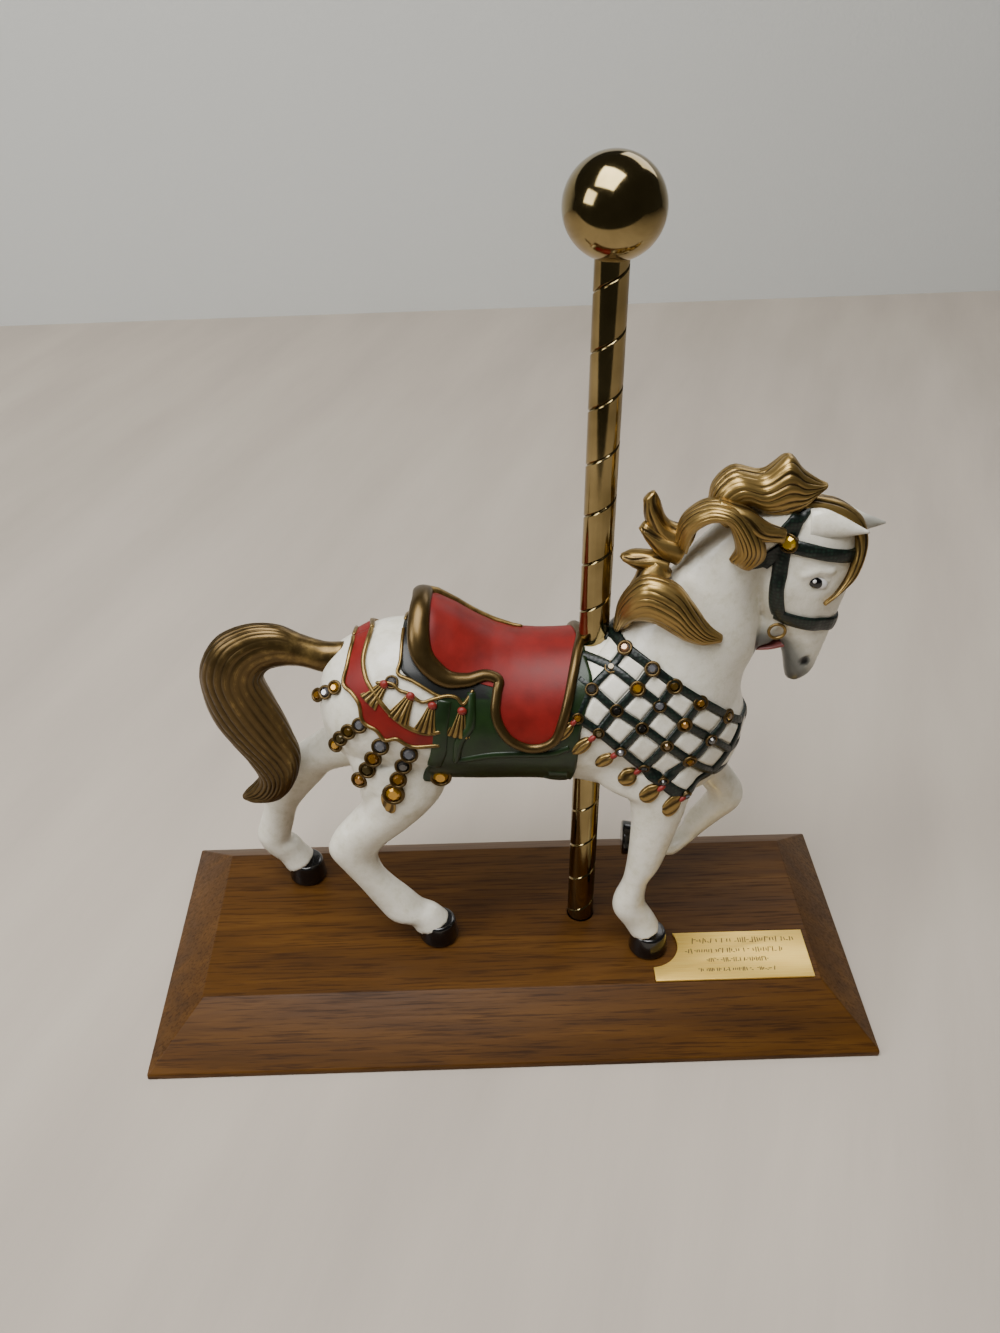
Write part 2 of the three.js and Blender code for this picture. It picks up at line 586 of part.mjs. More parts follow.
// Blanket, girth, crupper, chest lattice and their trim
const mirrored = (points) => points.map(([x, y, z]) => [x, -y, z]);
const bothSides = (make) => [make((p) => p), make(mirrored)];
const blanket = patch(BLANKET, 3, () => BLANKET_THICK);
const girth = band(GIRTH, GIRTH.map(() => GIRTH_WIDTH), BLANKET_THICK, 1, 6);
const crupper = bothSides((side) => band(side(CRUPPER), CRUPPER_WIDTHS, CRUPPER_THICK, 1, 7));
const lattice = [
  ...LATTICE.map((row) => band(row, row.map(() => STRAP_WIDTH), STRAP_THICK, 1, 5)),
  ...[0, 1, 2, 3, 4].map((k) => {
    const points = LATTICE.map((row, j) => row[k + CROSS_SHIFT[j]]).filter(Boolean);
    return band(points, points.map(() => STRAP_WIDTH), STRAP_THICK, 1, 4);
  }),
  band(CHEST_EDGE, CHEST_EDGE.map(() => STRAP_WIDTH), STRAP_THICK, 1, 5),
];
const bridle = BRIDLE.map((strap) =>
  band(strap, strap.map(() => BRIDLE_WIDTH), BRIDLE_THICK, 1, strap.length, skull));
const tassels = [...CHEST_TASSELS, ...GARLAND_TASSELS, HAUNCH_TASSEL].map(([a, b]) => tassel(a, b));
const rings = [1, -1].map((hand) => {
  const ring = new THREE.TorusGeometry(BIT_RING_RADIUS, BIT_RING_WIRE, 4, 8);
  ring.rotateX(Math.PI / 2);
  ring.translate(BIT_RING[0], hand * BIT_RING[1], BIT_RING[2]);
  return solid(ring);
});

// Jewels, glued on just clear of what they sit on
const jewels = JEWELS.flatMap(([name, radius, colour, seat, points, on]) => points.map((p, k) => {
  const s = (on === "head" ? skull : trunk)(new THREE.Vector3(...p));
  const gem = post(s, seat + GAP, seat + GAP + JEWEL_HEIGHT, radius, JEWEL_TABLE * radius);
  const room = solid(post(s, seat, seat + 3 * JEWEL_HEIGHT, radius + GAP, radius + GAP));
  return { name: `${name}_${k + 1}`, colour, gem, room };
}));

// Pole, ball, board and plate
const poleTop = BALL_Z - BALL_RADIUS + BALL_SOCKET;
const poleFoot = BOARD_HEIGHT - POLE_SOCKET;
function rod(radius, low, high, x = POLE_X) {
  const geometry = new THREE.CylinderGeometry(radius, radius, high - low, 24);
  geometry.rotateX(Math.PI / 2);
  geometry.translate(x, 0, (low + high) / 2);
  return geometry;
}
const ballGeometry = new THREE.SphereGeometry(BALL_RADIUS, 18, 10);
ballGeometry.rotateX(Math.PI / 2);
ballGeometry.translate(POLE_X, 0, BALL_Z);
const ball = solid(ballGeometry).subtract(solid(rod(POLE_RADIUS + GAP, 0, poleTop + GAP)));
const boardGeometry = new THREE.BoxGeometry(BOARD_LENGTH, BOARD_WIDTH, BOARD_HEIGHT, 1, 1, 2);
const boardAt = boardGeometry.attributes.position;
for (let i = 0; i < boardAt.count; i += 1) {
  const level = Math.round(2 * boardAt.getZ(i) / BOARD_HEIGHT);
  const inX = level > 0 ? BOARD_END_BEVEL : 0;
  const inY = level > 0 ? BOARD_SIDE_BEVEL : 0;
  const x = Math.sign(boardAt.getX(i)) * (BOARD_LENGTH / 2 - inX);
  const y = Math.sign(boardAt.getY(i)) * (BOARD_WIDTH / 2 - inY);
  boardAt.setXYZ(i, x, y, [0, BOARD_LOW_EDGE, BOARD_HEIGHT][level + 1]);
}
const socket = solid(rod(POLE_RADIUS + GAP, poleFoot - GAP, BOARD_HEIGHT + 5));
const board = solid(boardGeometry).subtract(socket);
const nearHoof = new THREE.Vector3(HOOVES[2][0] - POLE_X, HOOVES[2][1], 0);
nearHoof.applyAxisAngle(new THREE.Vector3(0, 0, 1), HORSE_TURN);
const plateShape = new THREE.Shape([
  new THREE.Vector2(PLATE_X, PLATE_Y),
  new THREE.Vector2(PLATE_X + PLATE_LENGTH, PLATE_Y),
  new THREE.Vector2(PLATE_X + PLATE_LENGTH, PLATE_Y + PLATE_WIDTH),
  new THREE.Vector2(PLATE_X, PLATE_Y + PLATE_WIDTH),
]);
const plateGeometry = new THREE.ExtrudeGeometry(plateShape, { depth: PLATE_THICK, bevelEnabled: false });
plateGeometry.translate(0, 0, BOARD_HEIGHT + GAP);
const notch = new THREE.CylinderGeometry(PLATE_NOTCH, PLATE_NOTCH, 4 * PLATE_THICK, 32);
notch.rotateX(Math.PI / 2);
notch.translate(POLE_X + nearHoof.x, nearHoof.y, BOARD_HEIGHT + GAP + PLATE_THICK / 2);
const plate = solid(plateGeometry).subtract(solid(notch));

// The horse as one casting, bored for the pole
const parts = [...hair, ...hooves, saddle, rolled, blanket, girth, ...crupper, ...lattice];
parts.push(...bridle, ...tassels, ...rings);
let horse = parts.reduce((a, b) => a.add(b), body);
horse = jewels.reduce((a, j) => a.subtract(j.room), horse);
horse = horse.subtract(solid(rod(POLE_RADIUS + POLE_FIT, 0, poleTop)));
const under = new THREE.BoxGeometry(BOARD_LENGTH, BOARD_WIDTH, BOARD_HEIGHT);
under.translate(0, 0, SOLE_GAP + BOARD_HEIGHT / 2);
horse = horse.subtract(solid(under));

// Only the outer skin is kept, which closes small pockets between overlapping parts
horse = horse.decompose().reduce((a, b) => (b.volume() > a.volume() ? b : a));

// Scene graph: the horse and its jewels turn together about the pole
const group = new THREE.Group();
function piece(name, geometry, colour, roughness, metalness) {
  geometry.computeVertexNormals();
  const material = new THREE.MeshStandardMaterial({ color: colour, roughness, metalness });
  const mesh = new THREE.Mesh(geometry, material);
  mesh.name = name;
  group.add(mesh);
}
function turned(geometry) {
  geometry.translate(-POLE_X, 0, 0);
  geometry.rotateZ(HORSE_TURN);
  geometry.translate(POLE_X, 0, 0);
  return geometry;
}
piece("base_board", shell(board), "#5c3a22", 0.4, 0);
piece("pole", rod(POLE_RADIUS, poleFoot, poleTop), "#b8924a", 0.15, 1);
piece("ball_finial", shell(ball), "#b8924a", 0.12, 1);
piece("name_plate", shell(plate), "#b9a05c", 0.3, 1);
piece("horse", turned(shell(horse)), "#efe9dd", 0.45, 0);
for (const { name, gem, colour } of jewels) {
  piece(name, turned(gem), colour, 0.1, 0);
}

export default group;
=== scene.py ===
import math

import bpy
import numpy as np
from mathutils import Matrix, Vector
from mathutils.bvhtree import BVHTree


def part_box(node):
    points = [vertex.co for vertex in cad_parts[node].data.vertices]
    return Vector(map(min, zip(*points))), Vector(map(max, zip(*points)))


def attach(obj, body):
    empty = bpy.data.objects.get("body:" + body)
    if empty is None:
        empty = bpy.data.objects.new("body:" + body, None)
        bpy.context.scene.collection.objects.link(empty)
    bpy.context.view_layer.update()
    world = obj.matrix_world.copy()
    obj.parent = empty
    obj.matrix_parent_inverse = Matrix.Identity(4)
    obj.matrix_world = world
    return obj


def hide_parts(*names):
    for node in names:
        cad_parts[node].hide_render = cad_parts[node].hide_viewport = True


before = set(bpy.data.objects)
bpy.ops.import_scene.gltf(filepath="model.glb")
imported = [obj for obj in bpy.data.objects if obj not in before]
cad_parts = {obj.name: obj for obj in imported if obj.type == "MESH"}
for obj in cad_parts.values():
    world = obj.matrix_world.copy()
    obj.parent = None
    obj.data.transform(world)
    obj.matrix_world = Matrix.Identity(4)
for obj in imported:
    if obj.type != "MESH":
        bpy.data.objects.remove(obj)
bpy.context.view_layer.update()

# Base board: one piece of walnut, 254 x 110 x 18 mm, with four wide bevels
# sawn round its top, sanded, stained and finished in satin lacquer.
BOARD = (254, 110, 18)
BOARD_BEVEL = (18, 20)
BOARD_LOW_EDGE = 2.4
POLE_X = 26.5
SOCKET_RADIUS = 5.06
SOCKET_FLOOR = 11.7
DRILL_DEPTH = 20
TO_METRES = Matrix.Scale(0.001, 4)


def linear(code):
    """sRGB hex colour as a linear one"""
    channels = [int(code[i:i + 2], 16) / 255 for i in (1, 3, 5)]
    return [c / 12.92 if c <= 0.04045 else ((c + 0.055) / 1.055) ** 2.4 for c in channels] + [1]


def add_node(tree, kind, settings=None, links=None):
    """adds a node; capitalised settings are its sockets, the others its properties"""
    made = tree.nodes.new("ShaderNode" + kind)
    for name, value in (settings or {}).items():
        if isinstance(name, int) or name[0].isupper():
            made.inputs[name].default_value = value
        elif name == "stops":
            ramp = made.color_ramp
            while len(ramp.elements) < len(value):
                ramp.elements.new(0.5)
            for stop, (place, code) in zip(ramp.elements, value):
                stop.position = place
                stop.color = linear(code)
        else:
            setattr(made, name, value)
    for name, socket in (links or {}).items():
        tree.links.new(socket, made.inputs[name])
    return made


def new_material(name, settings):
    """material with its shader set, its node tree and its Object coordinates"""
    made = bpy.data.materials.new(name)
    made.use_nodes = True
    shader = made.node_tree.nodes["Principled BSDF"]
    for socket, value in settings.items():
        shader.inputs[socket].default_value = value
    place = add_node(made.node_tree, "TexCoord").outputs["Object"]
    return made, made.node_tree, shader, place


def deselect():
    bpy.ops.object.select_all(action="DESELECT")


def select_only(piece):
    deselect()
    piece.select_set(True)
    bpy.context.view_layer.objects.active = piece


def smooth_by_angle(piece, degrees):
    select_only(piece)
    bpy.ops.object.shade_smooth_by_angle(angle=math.radians(degrees))


def add_bevel(piece, name, width, segments, degrees=30):
    """rounds the edges of a piece that are sharper than an angle"""
    made = piece.modifiers.new(name, "BEVEL")
    made.width = width
    made.segments = segments
    made.limit_method = "ANGLE"
    made.angle_limit = math.radians(degrees)


def add_cut(piece, name, sides, radius, depth, location):
    """adds a round hole to a piece's modifiers, and returns its cutter"""
    deselect()
    bpy.ops.mesh.primitive_cylinder_add(vertices=sides, radius=radius, depth=depth, location=location)
    cutter = bpy.context.object
    made = piece.modifiers.new(name, "BOOLEAN")
    made.object = cutter
    made.operation = "DIFFERENCE"
    return cutter


def apply_modifiers(piece):
    """applies every modifier on a piece, in order"""
    select_only(piece)
    for modifier in list(piece.modifiers):
        bpy.ops.object.modifier_apply(modifier=modifier.name)


def hand_over(piece, nodes, place=TO_METRES):
    """sets a finished piece in its place in metres and hides the parts it stands for"""
    piece.data.transform(place)
    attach(piece, "root")
    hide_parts(*nodes)


def vary_gloss(tree, shader, factor, limits):
    """sets a shader's roughness by a factor"""
    gloss = add_node(tree, "MapRange", limits, {"Value": factor})
    tree.links.new(gloss.outputs[0], shader.inputs["Roughness"])


def bump(tree, shader, height, strength, distance):
    """adds a grain too fine to be modelled"""
    rise = add_node(tree, "Bump", {"Strength": strength, "Distance": distance}, {"Height": height})
    tree.links.new(rise.outputs[0], shader.inputs["Normal"])


# Lacquered walnut: dark pores and figure run along the board and cross the slanted
# ends, whose greyer end grain is not drawn. Pores 0.7 mm apart are drawn coarser than real ones.
walnut, tree, shader, place = new_material("lacquered_walnut", {"IOR": 1.5, "Specular IOR Level": 0.14})
across = add_node(tree, "Mapping", {"Scale": (9, 95, 95)}, {"Vector": place})
figure = add_node(tree, "TexNoise", {"Scale": 1, "Detail": 5, "Roughness": 0.6, "Distortion": 0.7},
                  {"Vector": across.outputs[0]})
fine = add_node(tree, "Mapping", {"Scale": (45, 1100, 1100)}, {"Vector": place})
pores = add_node(tree, "TexNoise", {"Scale": 1, "Detail": 3, "Roughness": 0.65}, {"Vector": fine.outputs[0]})
tone = add_node(tree, "ValToRGB", {"stops": [(0.3, "#402810"), (0.5, "#4e3110"), (0.72, "#5f3e16")]},
                {"Fac": figure.outputs[0]})
lines = add_node(tree, "ValToRGB", {"stops": [(0.36, "#8d7c68"), (0.5, "#ffffff")]},
                 {"Fac": pores.outputs[0]})
wood = add_node(tree, "Mix", {"data_type": "RGBA", "blend_type": "MULTIPLY", 0: 0.65},
                {6: tone.outputs[0], 7: lines.outputs[0]})
tree.links.new(wood.outputs[2], shader.inputs["Base Color"])
vary_gloss(tree, shader, pores.outputs[0], {"From Min": 0.3, "From Max": 0.7, "To Min": 0.5, "To Max": 0.36})
bump(tree, shader, pores.outputs[0], 0.25, 0.0001)

deselect()
bpy.ops.mesh.primitive_cube_add(size=1, location=(0, 0, BOARD_LOW_EDGE / 2),
                                scale=(BOARD[0], BOARD[1], BOARD_LOW_EDGE))
board = bpy.context.object
board.name = "walnut_board"
bpy.ops.object.transform_apply(location=True, rotation=True, scale=True)
bpy.ops.object.mode_set(mode="EDIT")
bpy.ops.mesh.select_all(action="DESELECT")
bpy.ops.object.mode_set(mode="OBJECT")
for face in board.data.polygons:
    face.select = face.normal.z > 0.9
bpy.ops.object.mode_set(mode="EDIT")
bpy.ops.mesh.extrude_region_move(TRANSFORM_OT_translate={"value": (0, 0, BOARD[2] - BOARD_LOW_EDGE)})
bpy.ops.transform.resize(value=(1 - 2 * BOARD_BEVEL[0] / BOARD[0], 1 - 2 * BOARD_BEVEL[1] / BOARD[1], 1))
bpy.ops.object.mode_set(mode="OBJECT")
add_bevel(board, "softened edges", 0.5, 3)
drill = add_cut(board, "pole socket", 48, SOCKET_RADIUS, DRILL_DEPTH,
                (POLE_X, 0, SOCKET_FLOOR + DRILL_DEPTH / 2))
apply_modifiers(board)
bpy.data.objects.remove(drill)
board.data.materials.append(walnut)
board.data.shade_smooth()
smooth_by_angle(board, 30)
hand_over(board, ["base_board"])

# Pole: brass tube of 3/8 inch, polished, with one shallow groove rolled round
# it as a right-handed spiral. It stands in the board and carries the ball.
POLE_RADIUS = 4.76
POLE_FOOT = 12
POLE_TOP = 265.3
GROOVE_PITCH = 16.5
GROOVE_DEPTH = 0.42
GROOVE_HALF_WIDTH = 0.9


def tint(tree, shader, factor, stops):
    """colours a shader by stops along a factor"""
    tone = add_node(tree, "ValToRGB", {"stops": stops}, {"Fac": factor})
    tree.links.new(tone.outputs[0], shader.inputs["Base Color"])


# Polished brass: mirror-like, a little darker where it has tarnished in clouds
# some 15 mm across, with fine rubbing marks in its gloss.
brass, tree, shader, place = new_material("polished_brass", {"Metallic": 1})
clouds = add_node(tree, "TexNoise", {"Scale": 70, "Detail": 3}, {"Vector": place})
tint(tree, shader, clouds.outputs[0], [(0.35, "#7c6c47"), (0.7, "#9c8a60")])
rubbing = add_node(tree, "TexNoise", {"Scale": 900, "Detail": 2}, {"Vector": place})
vary_gloss(tree, shader, rubbing.outputs[0], {"To Min": 0.06, "To Max": 0.16})

deselect()
rings = 370
bpy.ops.mesh.primitive_cylinder_add(vertices=48, radius=1, depth=1, end_fill_type="NGON", location=(0, 0, 0))
pole = bpy.context.object
pole.name = "spiral_pole"
bpy.ops.object.mode_set(mode="EDIT")
bpy.ops.mesh.select_all(action="DESELECT")
bpy.ops.object.mode_set(mode="OBJECT")
for face in pole.data.polygons:
    face.select = face.normal.z > 0.9
step = (POLE_TOP - POLE_FOOT) / rings
bpy.ops.object.mode_set(mode="EDIT")
for _ in range(rings - 1):
    bpy.ops.mesh.extrude_region_move(TRANSFORM_OT_translate={"value": (0, 0, 1)})
bpy.ops.object.mode_set(mode="OBJECT")
for v in pole.data.vertices:
    ring = round(v.co.z + 0.5)
    z = POLE_FOOT + ring * step
    start = 2 * math.pi * (z - POLE_FOOT) / GROOVE_PITCH
    share = (math.atan2(v.co.y, v.co.x) / (2 * math.pi)) % 1
    # points crowd near the groove: share 0 is its middle
    offset = share if share < 0.5 else share - 1
    angle = math.copysign(abs(2 * offset) ** 1.5 * math.pi, offset)
    depth = GROOVE_DEPTH * max(0, 1 - abs(angle) * POLE_RADIUS / GROOVE_HALF_WIDTH) if 0 < ring < rings else 0
    radius = POLE_RADIUS - depth
    v.co = (POLE_X + radius * math.cos(angle + start), radius * math.sin(angle + start), z)
pole.data.materials.append(brass)
pole.data.shade_smooth()
smooth_by_angle(pole, 35)
hand_over(pole, ["pole"])

# Ball finial: hollow brass ball pressed on the end of the pole, polished,
# with a small rolled lip round its hole.
BALL_RADIUS = 13.5
BALL_Z = 272.8
BALL_SOCKET_TOP = 265.6
deselect()
bpy.ops.mesh.primitive_uv_sphere_add(segments=96, ring_count=64, radius=BALL_RADIUS,
                                     location=(POLE_X, 0, BALL_Z))
ball = bpy.context.object
ball.name = "brass_ball"
bpy.ops.object.transform_apply(location=True, rotation=True, scale=True)
drill = add_cut(ball, "pole hole", 64, SOCKET_RADIUS, DRILL_DEPTH,
                (POLE_X, 0, BALL_SOCKET_TOP - DRILL_DEPTH / 2))
add_bevel(ball, "rolled lip", 0.35, 3, 40)
apply_modifiers(ball)
bpy.data.objects.remove(drill)
ball.data.materials.append(brass)
ball.data.shade_smooth()
smooth_by_angle(ball, 40)
hand_over(ball, ["ball_finial"])

# Plate: thin brass sheet, 56.5 x 21.6 x 0.8 mm, notched round the near fore
# hoof and stuck to the board, engraved with four rows of shallow strokes.
PLATE = (50.3, 106.8, -34.7, -13.1)
PLATE_Z = 18.3
PLATE_THICK = 0.8
PLATE_NOTCH = 10.8
NOTCH_PLACE = (49.57, -17.87)
STROKE_ROWS = [(66, 103.5, -17.2, 2.6), (63, 98, -21.9, 2.3), (70, 92, -26.2, 1.9), (65.5, 93.5, -30.6, 1.8)]

# Satin brass sheet: paler than the pole, lightly brushed along its length,
# with dark filled strokes cut 0.05 mm deep.
plate_brass, tree, shader, place = new_material("satin_plate_brass", {"Metallic": 0.6, "Roughness": 0.34})
brushed = add_node(tree, "Mapping", {"Scale": (60, 5000, 1)}, {"Vector": place})
lines = add_node(tree, "TexNoise", {"Scale": 1, "Detail": 2}, {"Vector": brushed.outputs[0]})
tint(tree, shader, lines.outputs[0], [(0.3, "#f3c459"), (0.7, "#ffdb78")])
engraving = new_material("engraving_fill", {"Base Color": linear("#33260f"), "Roughness": 0.6})[0]

plate_middle = ((PLATE[0] + PLATE[1]) / 2, (PLATE[2] + PLATE[3]) / 2, PLATE_Z + PLATE_THICK / 2)
deselect()
bpy.ops.mesh.primitive_cube_add(size=1, location=plate_middle,
                                scale=(PLATE[1] - PLATE[0], PLATE[3] - PLATE[2], PLATE_THICK))
plate = bpy.context.object
plate.name = "engraved_plate"
bpy.ops.object.transform_apply(location=True, rotation=True, scale=True)
drill = add_cut(plate, "hoof notch", 96, PLATE_NOTCH, 4, (*NOTCH_PLACE, PLATE_Z))
add_bevel(plate, "eased edges", 0.12, 2)
apply_modifiers(plate)
bpy.data.objects.remove(drill)
plate.data.materials.append(plate_brass)
smooth_by_angle(plate, 30)
chance = np.random.default_rng(7)
strokes = []
for left, right, y, height in STROKE_ROWS:
    x = left
    while x < right:
        if chance.random() > 0.16:
            tall = height * chance.choice([0.55, 0.8, 1.0])
            flat = chance.random() < 0.3
            size = (height * 0.34, 0.28, 0.06) if flat else (0.34, tall, 0.06)
            lean = chance.uniform(-0.25, 0.1)
            offset = chance.uniform(-0.4, 0.4) * height if flat else 0
            deselect()
            bpy.ops.mesh.primitive_cube_add(size=1, scale=size, rotation=(0, 0, lean),
                                            location=(x, y + offset, PLATE_Z + PLATE_THICK))
            bpy.ops.object.transform_apply(location=True, rotation=True, scale=True)
            bpy.context.object.data.materials.append(engraving)
            strokes.append(bpy.context.object)
        x += height * chance.uniform(0.3, 0.44)


def join(name, pieces):
    """joins pieces into the first one"""
    deselect()
    for piece in pieces:
        piece.select_set(True)
    bpy.context.view_layer.objects.active = pieces[0]
    bpy.ops.object.join()
    pieces[0].name = name
    return pieces[0]


plate = join("engraved_plate", [plate] + strokes)
hand_over(plate, ["name_plate"])

# Horse's body: one casting in resin, sanded and sprayed gloss white. It is
# turned a little about the pole, on three hooves, with one fore leg raised.
# Each row: outline point x, z, facing outline point x, z, middle y, half width.
HORSE_TURN = math.radians(-4.5)
from_pole = TO_METRES @ Matrix.Translation((POLE_X, 0, 0))
ON_POLE = from_pole @ Matrix.Rotation(HORSE_TURN, 4, "Z") @ Matrix.Translation((-POLE_X, 0, 0))
TORSO = [
  [-61.9, 123.7, -62.3, 110, 0, 6],
  [-58.8, 133.2, -59.2, 101.4, 0, 13],
  [-51, 139.3, -51, 93, 0, 19],
  [-40, 144.7, -39, 90.4, 0, 22.5],
  [-26, 144.9, -25, 90.1, 0, 23.3],
  [-9, 141.6, -9, 90.9, 0, 23.5],
  [8, 140, 8, 91.6, 0, 23],
  [23.9, 141.9, 23.1, 89.8, 0, 22.5],
  [39.7, 146.5, 38, 84.9, 0, 22],
  [54.4, 143.8, 51.8, 82.4, 0, 20.5],
  [66.2, 137.3, 64.5, 85.5, 0, 16.5],
  [73.1, 128.7, 72.7, 96.9, 0, 10.5],
  [76, 119.2, 75.6, 107.8, 0, 4],
]
NECK = [
  [25.3, 139.2, 74.8, 111.7, 0, 20],
  [34.2, 148.5, 74.4, 123.7, 0, 18],
  [41, 156.8, 74.9, 132.6, 0, 15.5],
  [47.7, 165.2, 77.8, 141.5, 0, 13],
  [53.4, 173.5, 77.5, 151.3, 0, 11],
  [58.8, 180.5, 75.3, 161.3, 0, 9.8],
  [64.1, 185.7, 77.2, 171.2, 0, 8.8],
  [71, 190.5, 82, 180.2, 0, 8.2],
  [79.8, 191.9, 88.6, 184.4, 0, 7.5],
]
HEAD = [
  [81.8, 190.3, 93.3, 192.7, 0, 4.5],
  [77.5, 185.2, 100, 188.6, 0, 7.6],
  [74.7, 176.2, 102.8, 179.8, 0, 9.2],
  [73.6, 167.2, 103.1, 169.6, 0, 9.4],
  [74.8, 160.3, 102.1, 161.7, 0, 8.8],
  [77.4, 154.5, 100.7, 154.7, 0, 7.6],
  [80.6, 149.6, 99.8, 149.1, 0, 6.4],
  [83.8, 144, 98.6, 143.4, 0, 5.6],
  [85.9, 138.2, 97.5, 138.2, 0, 5.2],
  [87, 133.2, 96.1, 132.9, 0, 4.8],
  [88.2, 128.7, 93.9, 130.4, 0, 3.2],
]
JAW = [
  [78.6, 152.9, 87, 149.4, 0, 5.6],
  [77.4, 147.4, 83.4, 144.8, 0, 4.5],
  [75.8, 144.4, 81.3, 142.4, 0, 3.8],
  [74.6, 142.3, 77, 140.9, 0, 2.3],
]
NEAR_EAR = [
  [86.5, 191.5, 87, 180.8, -5, 3.2],
  [90.8, 191.6, 91.5, 181.6, -5.8, 3],
  [95.8, 189.6, 96.2, 182.9, -6.4, 2.4],
  [99.9, 187.4, 100.3, 184, -6.6, 1.5],
  [103.9, 185.2, 103.9, 184.6, -6.6, 0.5],
]
FAR_EAR = [
  [92, 190, 94, 180, 4.5, 3.2],
  [98, 188.5, 99.5, 179, 5.4, 3],
  [104.3, 185, 105.4, 179.1, 5.8, 2],
  [108, 183.4, 109, 180.1, 5.9, 1.2],
  [111.8, 181.9, 111.8, 181.3, 5.8, 0.5],
]
NEAR_HIND = [
  [-54.4, 104, -17.6, 102, -10, 11.5],
  [-50.2, 88.6, -21.1, 89.5, -12, 10.5],
  [-50.1, 81.2, -26, 81.8, -13, 8.8],
  [-54.8, 75.1, -33.4, 73.3, -13.3, 7.4],
  [-60.6, 67.2, -41.5, 65.2, -13.3, 6.2],
  [-62.9, 59.7, -45.6, 58.3, -13.3, 5.6],
  [-59.1, 52.6, -44.1, 50.8, -13.3, 5],
  [-53.6, 43.7, -40.3, 45.6, -13.3, 4.6],
  [-47.8, 33.7, -35.6, 40.8, -13.3, 4.8],
  [-43.1, 27.4, -30.2, 34.1, -13.3, 5.8],
  [-36.3, 25.3, -25.8, 32.2, -13.3, 5.4],
  [-34, 21.6, -21.4, 27.3, -13.3, 6.2],
]
FAR_HIND = [
  [-60.3, 112, -31.1, 98.4, 9.5, 8.5],
  [-64.6, 94.6, -47.8, 82, 13, 9],
  [-75.4, 84.4, -62.9, 75.3, 14.3, 7.3],
  [-85, 76.8, -69.6, 67.7, 14.8, 6.3],
  [-91.9, 65.6, -75.7, 60.1, 14.8, 5.7],
  [-91.9, 55.7, -79.7, 53.8, 15, 5],
  [-94.3, 47.3, -81.9, 46.2, 15, 4.8],
  [-96.5, 39.7, -83.7, 38.4, 15, 5.4],
  [-94.3, 32.6, -81.1, 36.1, 15.3, 5.6],
  [-89.4, 27.3, -79.3, 33.2, 15.3, 5.2],
  [-87, 22.6, -75.9, 28.5, 15.3, 6.2],
]
NEAR_FORE = [
  [19.7, 106.2, 63.9, 103, -11.5, 10.5],
  [28.7, 95.8, 62.1, 95.1, -13, 9.5],
  [38.2, 91.2, 60, 90.2, -14.5, 8],
  [40.9, 83.7, 58.5, 83.5, -15.5, 6.8],
  [41.3, 72.2, 55.9, 73.2, -16, 6],
  [40.8, 59.1, 52.5, 60, -16, 5.4],
  [39.8, 51, 49, 52.2, -16, 4.7],
  [37.2, 42.7, 48.2, 44.6, -16, 5.2],
  [37.4, 37.2, 49, 39.7, -16, 5.5],
  [41.3, 30.7, 52, 34.5, -16, 5],
  [44, 25.8, 54.6, 29, -16, 5.9],
]
FAR_FORE = [
  [42.8, 106.9, 73.5, 102.9, 9.5, 10],
  [52.8, 91.7, 75, 91.1, 12, 8.4],
  [60.8, 80, 76.4, 81.1, 13.5, 6.9],
  [68.2, 71.6, 80.4, 75, 14, 6],
  [70.6, 67.3, 83.5, 68.7, 14, 5.8],
  [69.6, 63.8, 82.8, 62.7, 14, 5.6],
  [67.2, 59.9, 77.5, 56.4, 14, 5],
  [64.3, 54.9, 71.8, 49.8, 14, 4.6],
  [62.7, 48.1, 66.1, 43.3, 14, 4.8],
  [57.8, 44.2, 60.4, 37.6, 14, 5.2],
  [52.8, 45.1, 53.4, 39, 14, 4.8],
  [49.6, 47.4, 49.9, 39.4, 14, 5.6],
]

def through(rows, t):
    """smooth curve through rows of numbers, at t from 0 to 1"""
    rows = np.asarray(rows, float)
    last = len(rows) - 1
    s = min(max(t, 0), 1) * last
    i = min(int(s), last - 1)
    w = s - i
    b, c = rows[i], rows[i + 1]
    a = rows[i - 1] if i else 2 * b - c
    d = rows[i + 2] if i + 2 <= last else 2 * c - b
    return 0.5 * (2 * b + (c - a) * w + (2 * a - 5 * b + 4 * c - d) * w ** 2
                  + (3 * b - a - 3 * c + d) * w ** 3)


def mark(piece, name, values):
    """stores a value at each point of a piece, for its paint to read"""
    attribute = piece.data.attributes.new(name, "FLOAT", "POINT")
    attribute.data.foreach_set("value", np.array(values, np.float32))


def face_out():
    """turns the faces of the new piece outwards"""
    bpy.ops.object.mode_set(mode="EDIT")
    bpy.ops.mesh.select_all(action="SELECT")
    bpy.ops.mesh.normals_make_consistent(inside=False)
    bpy.ops.object.mode_set(mode="OBJECT")


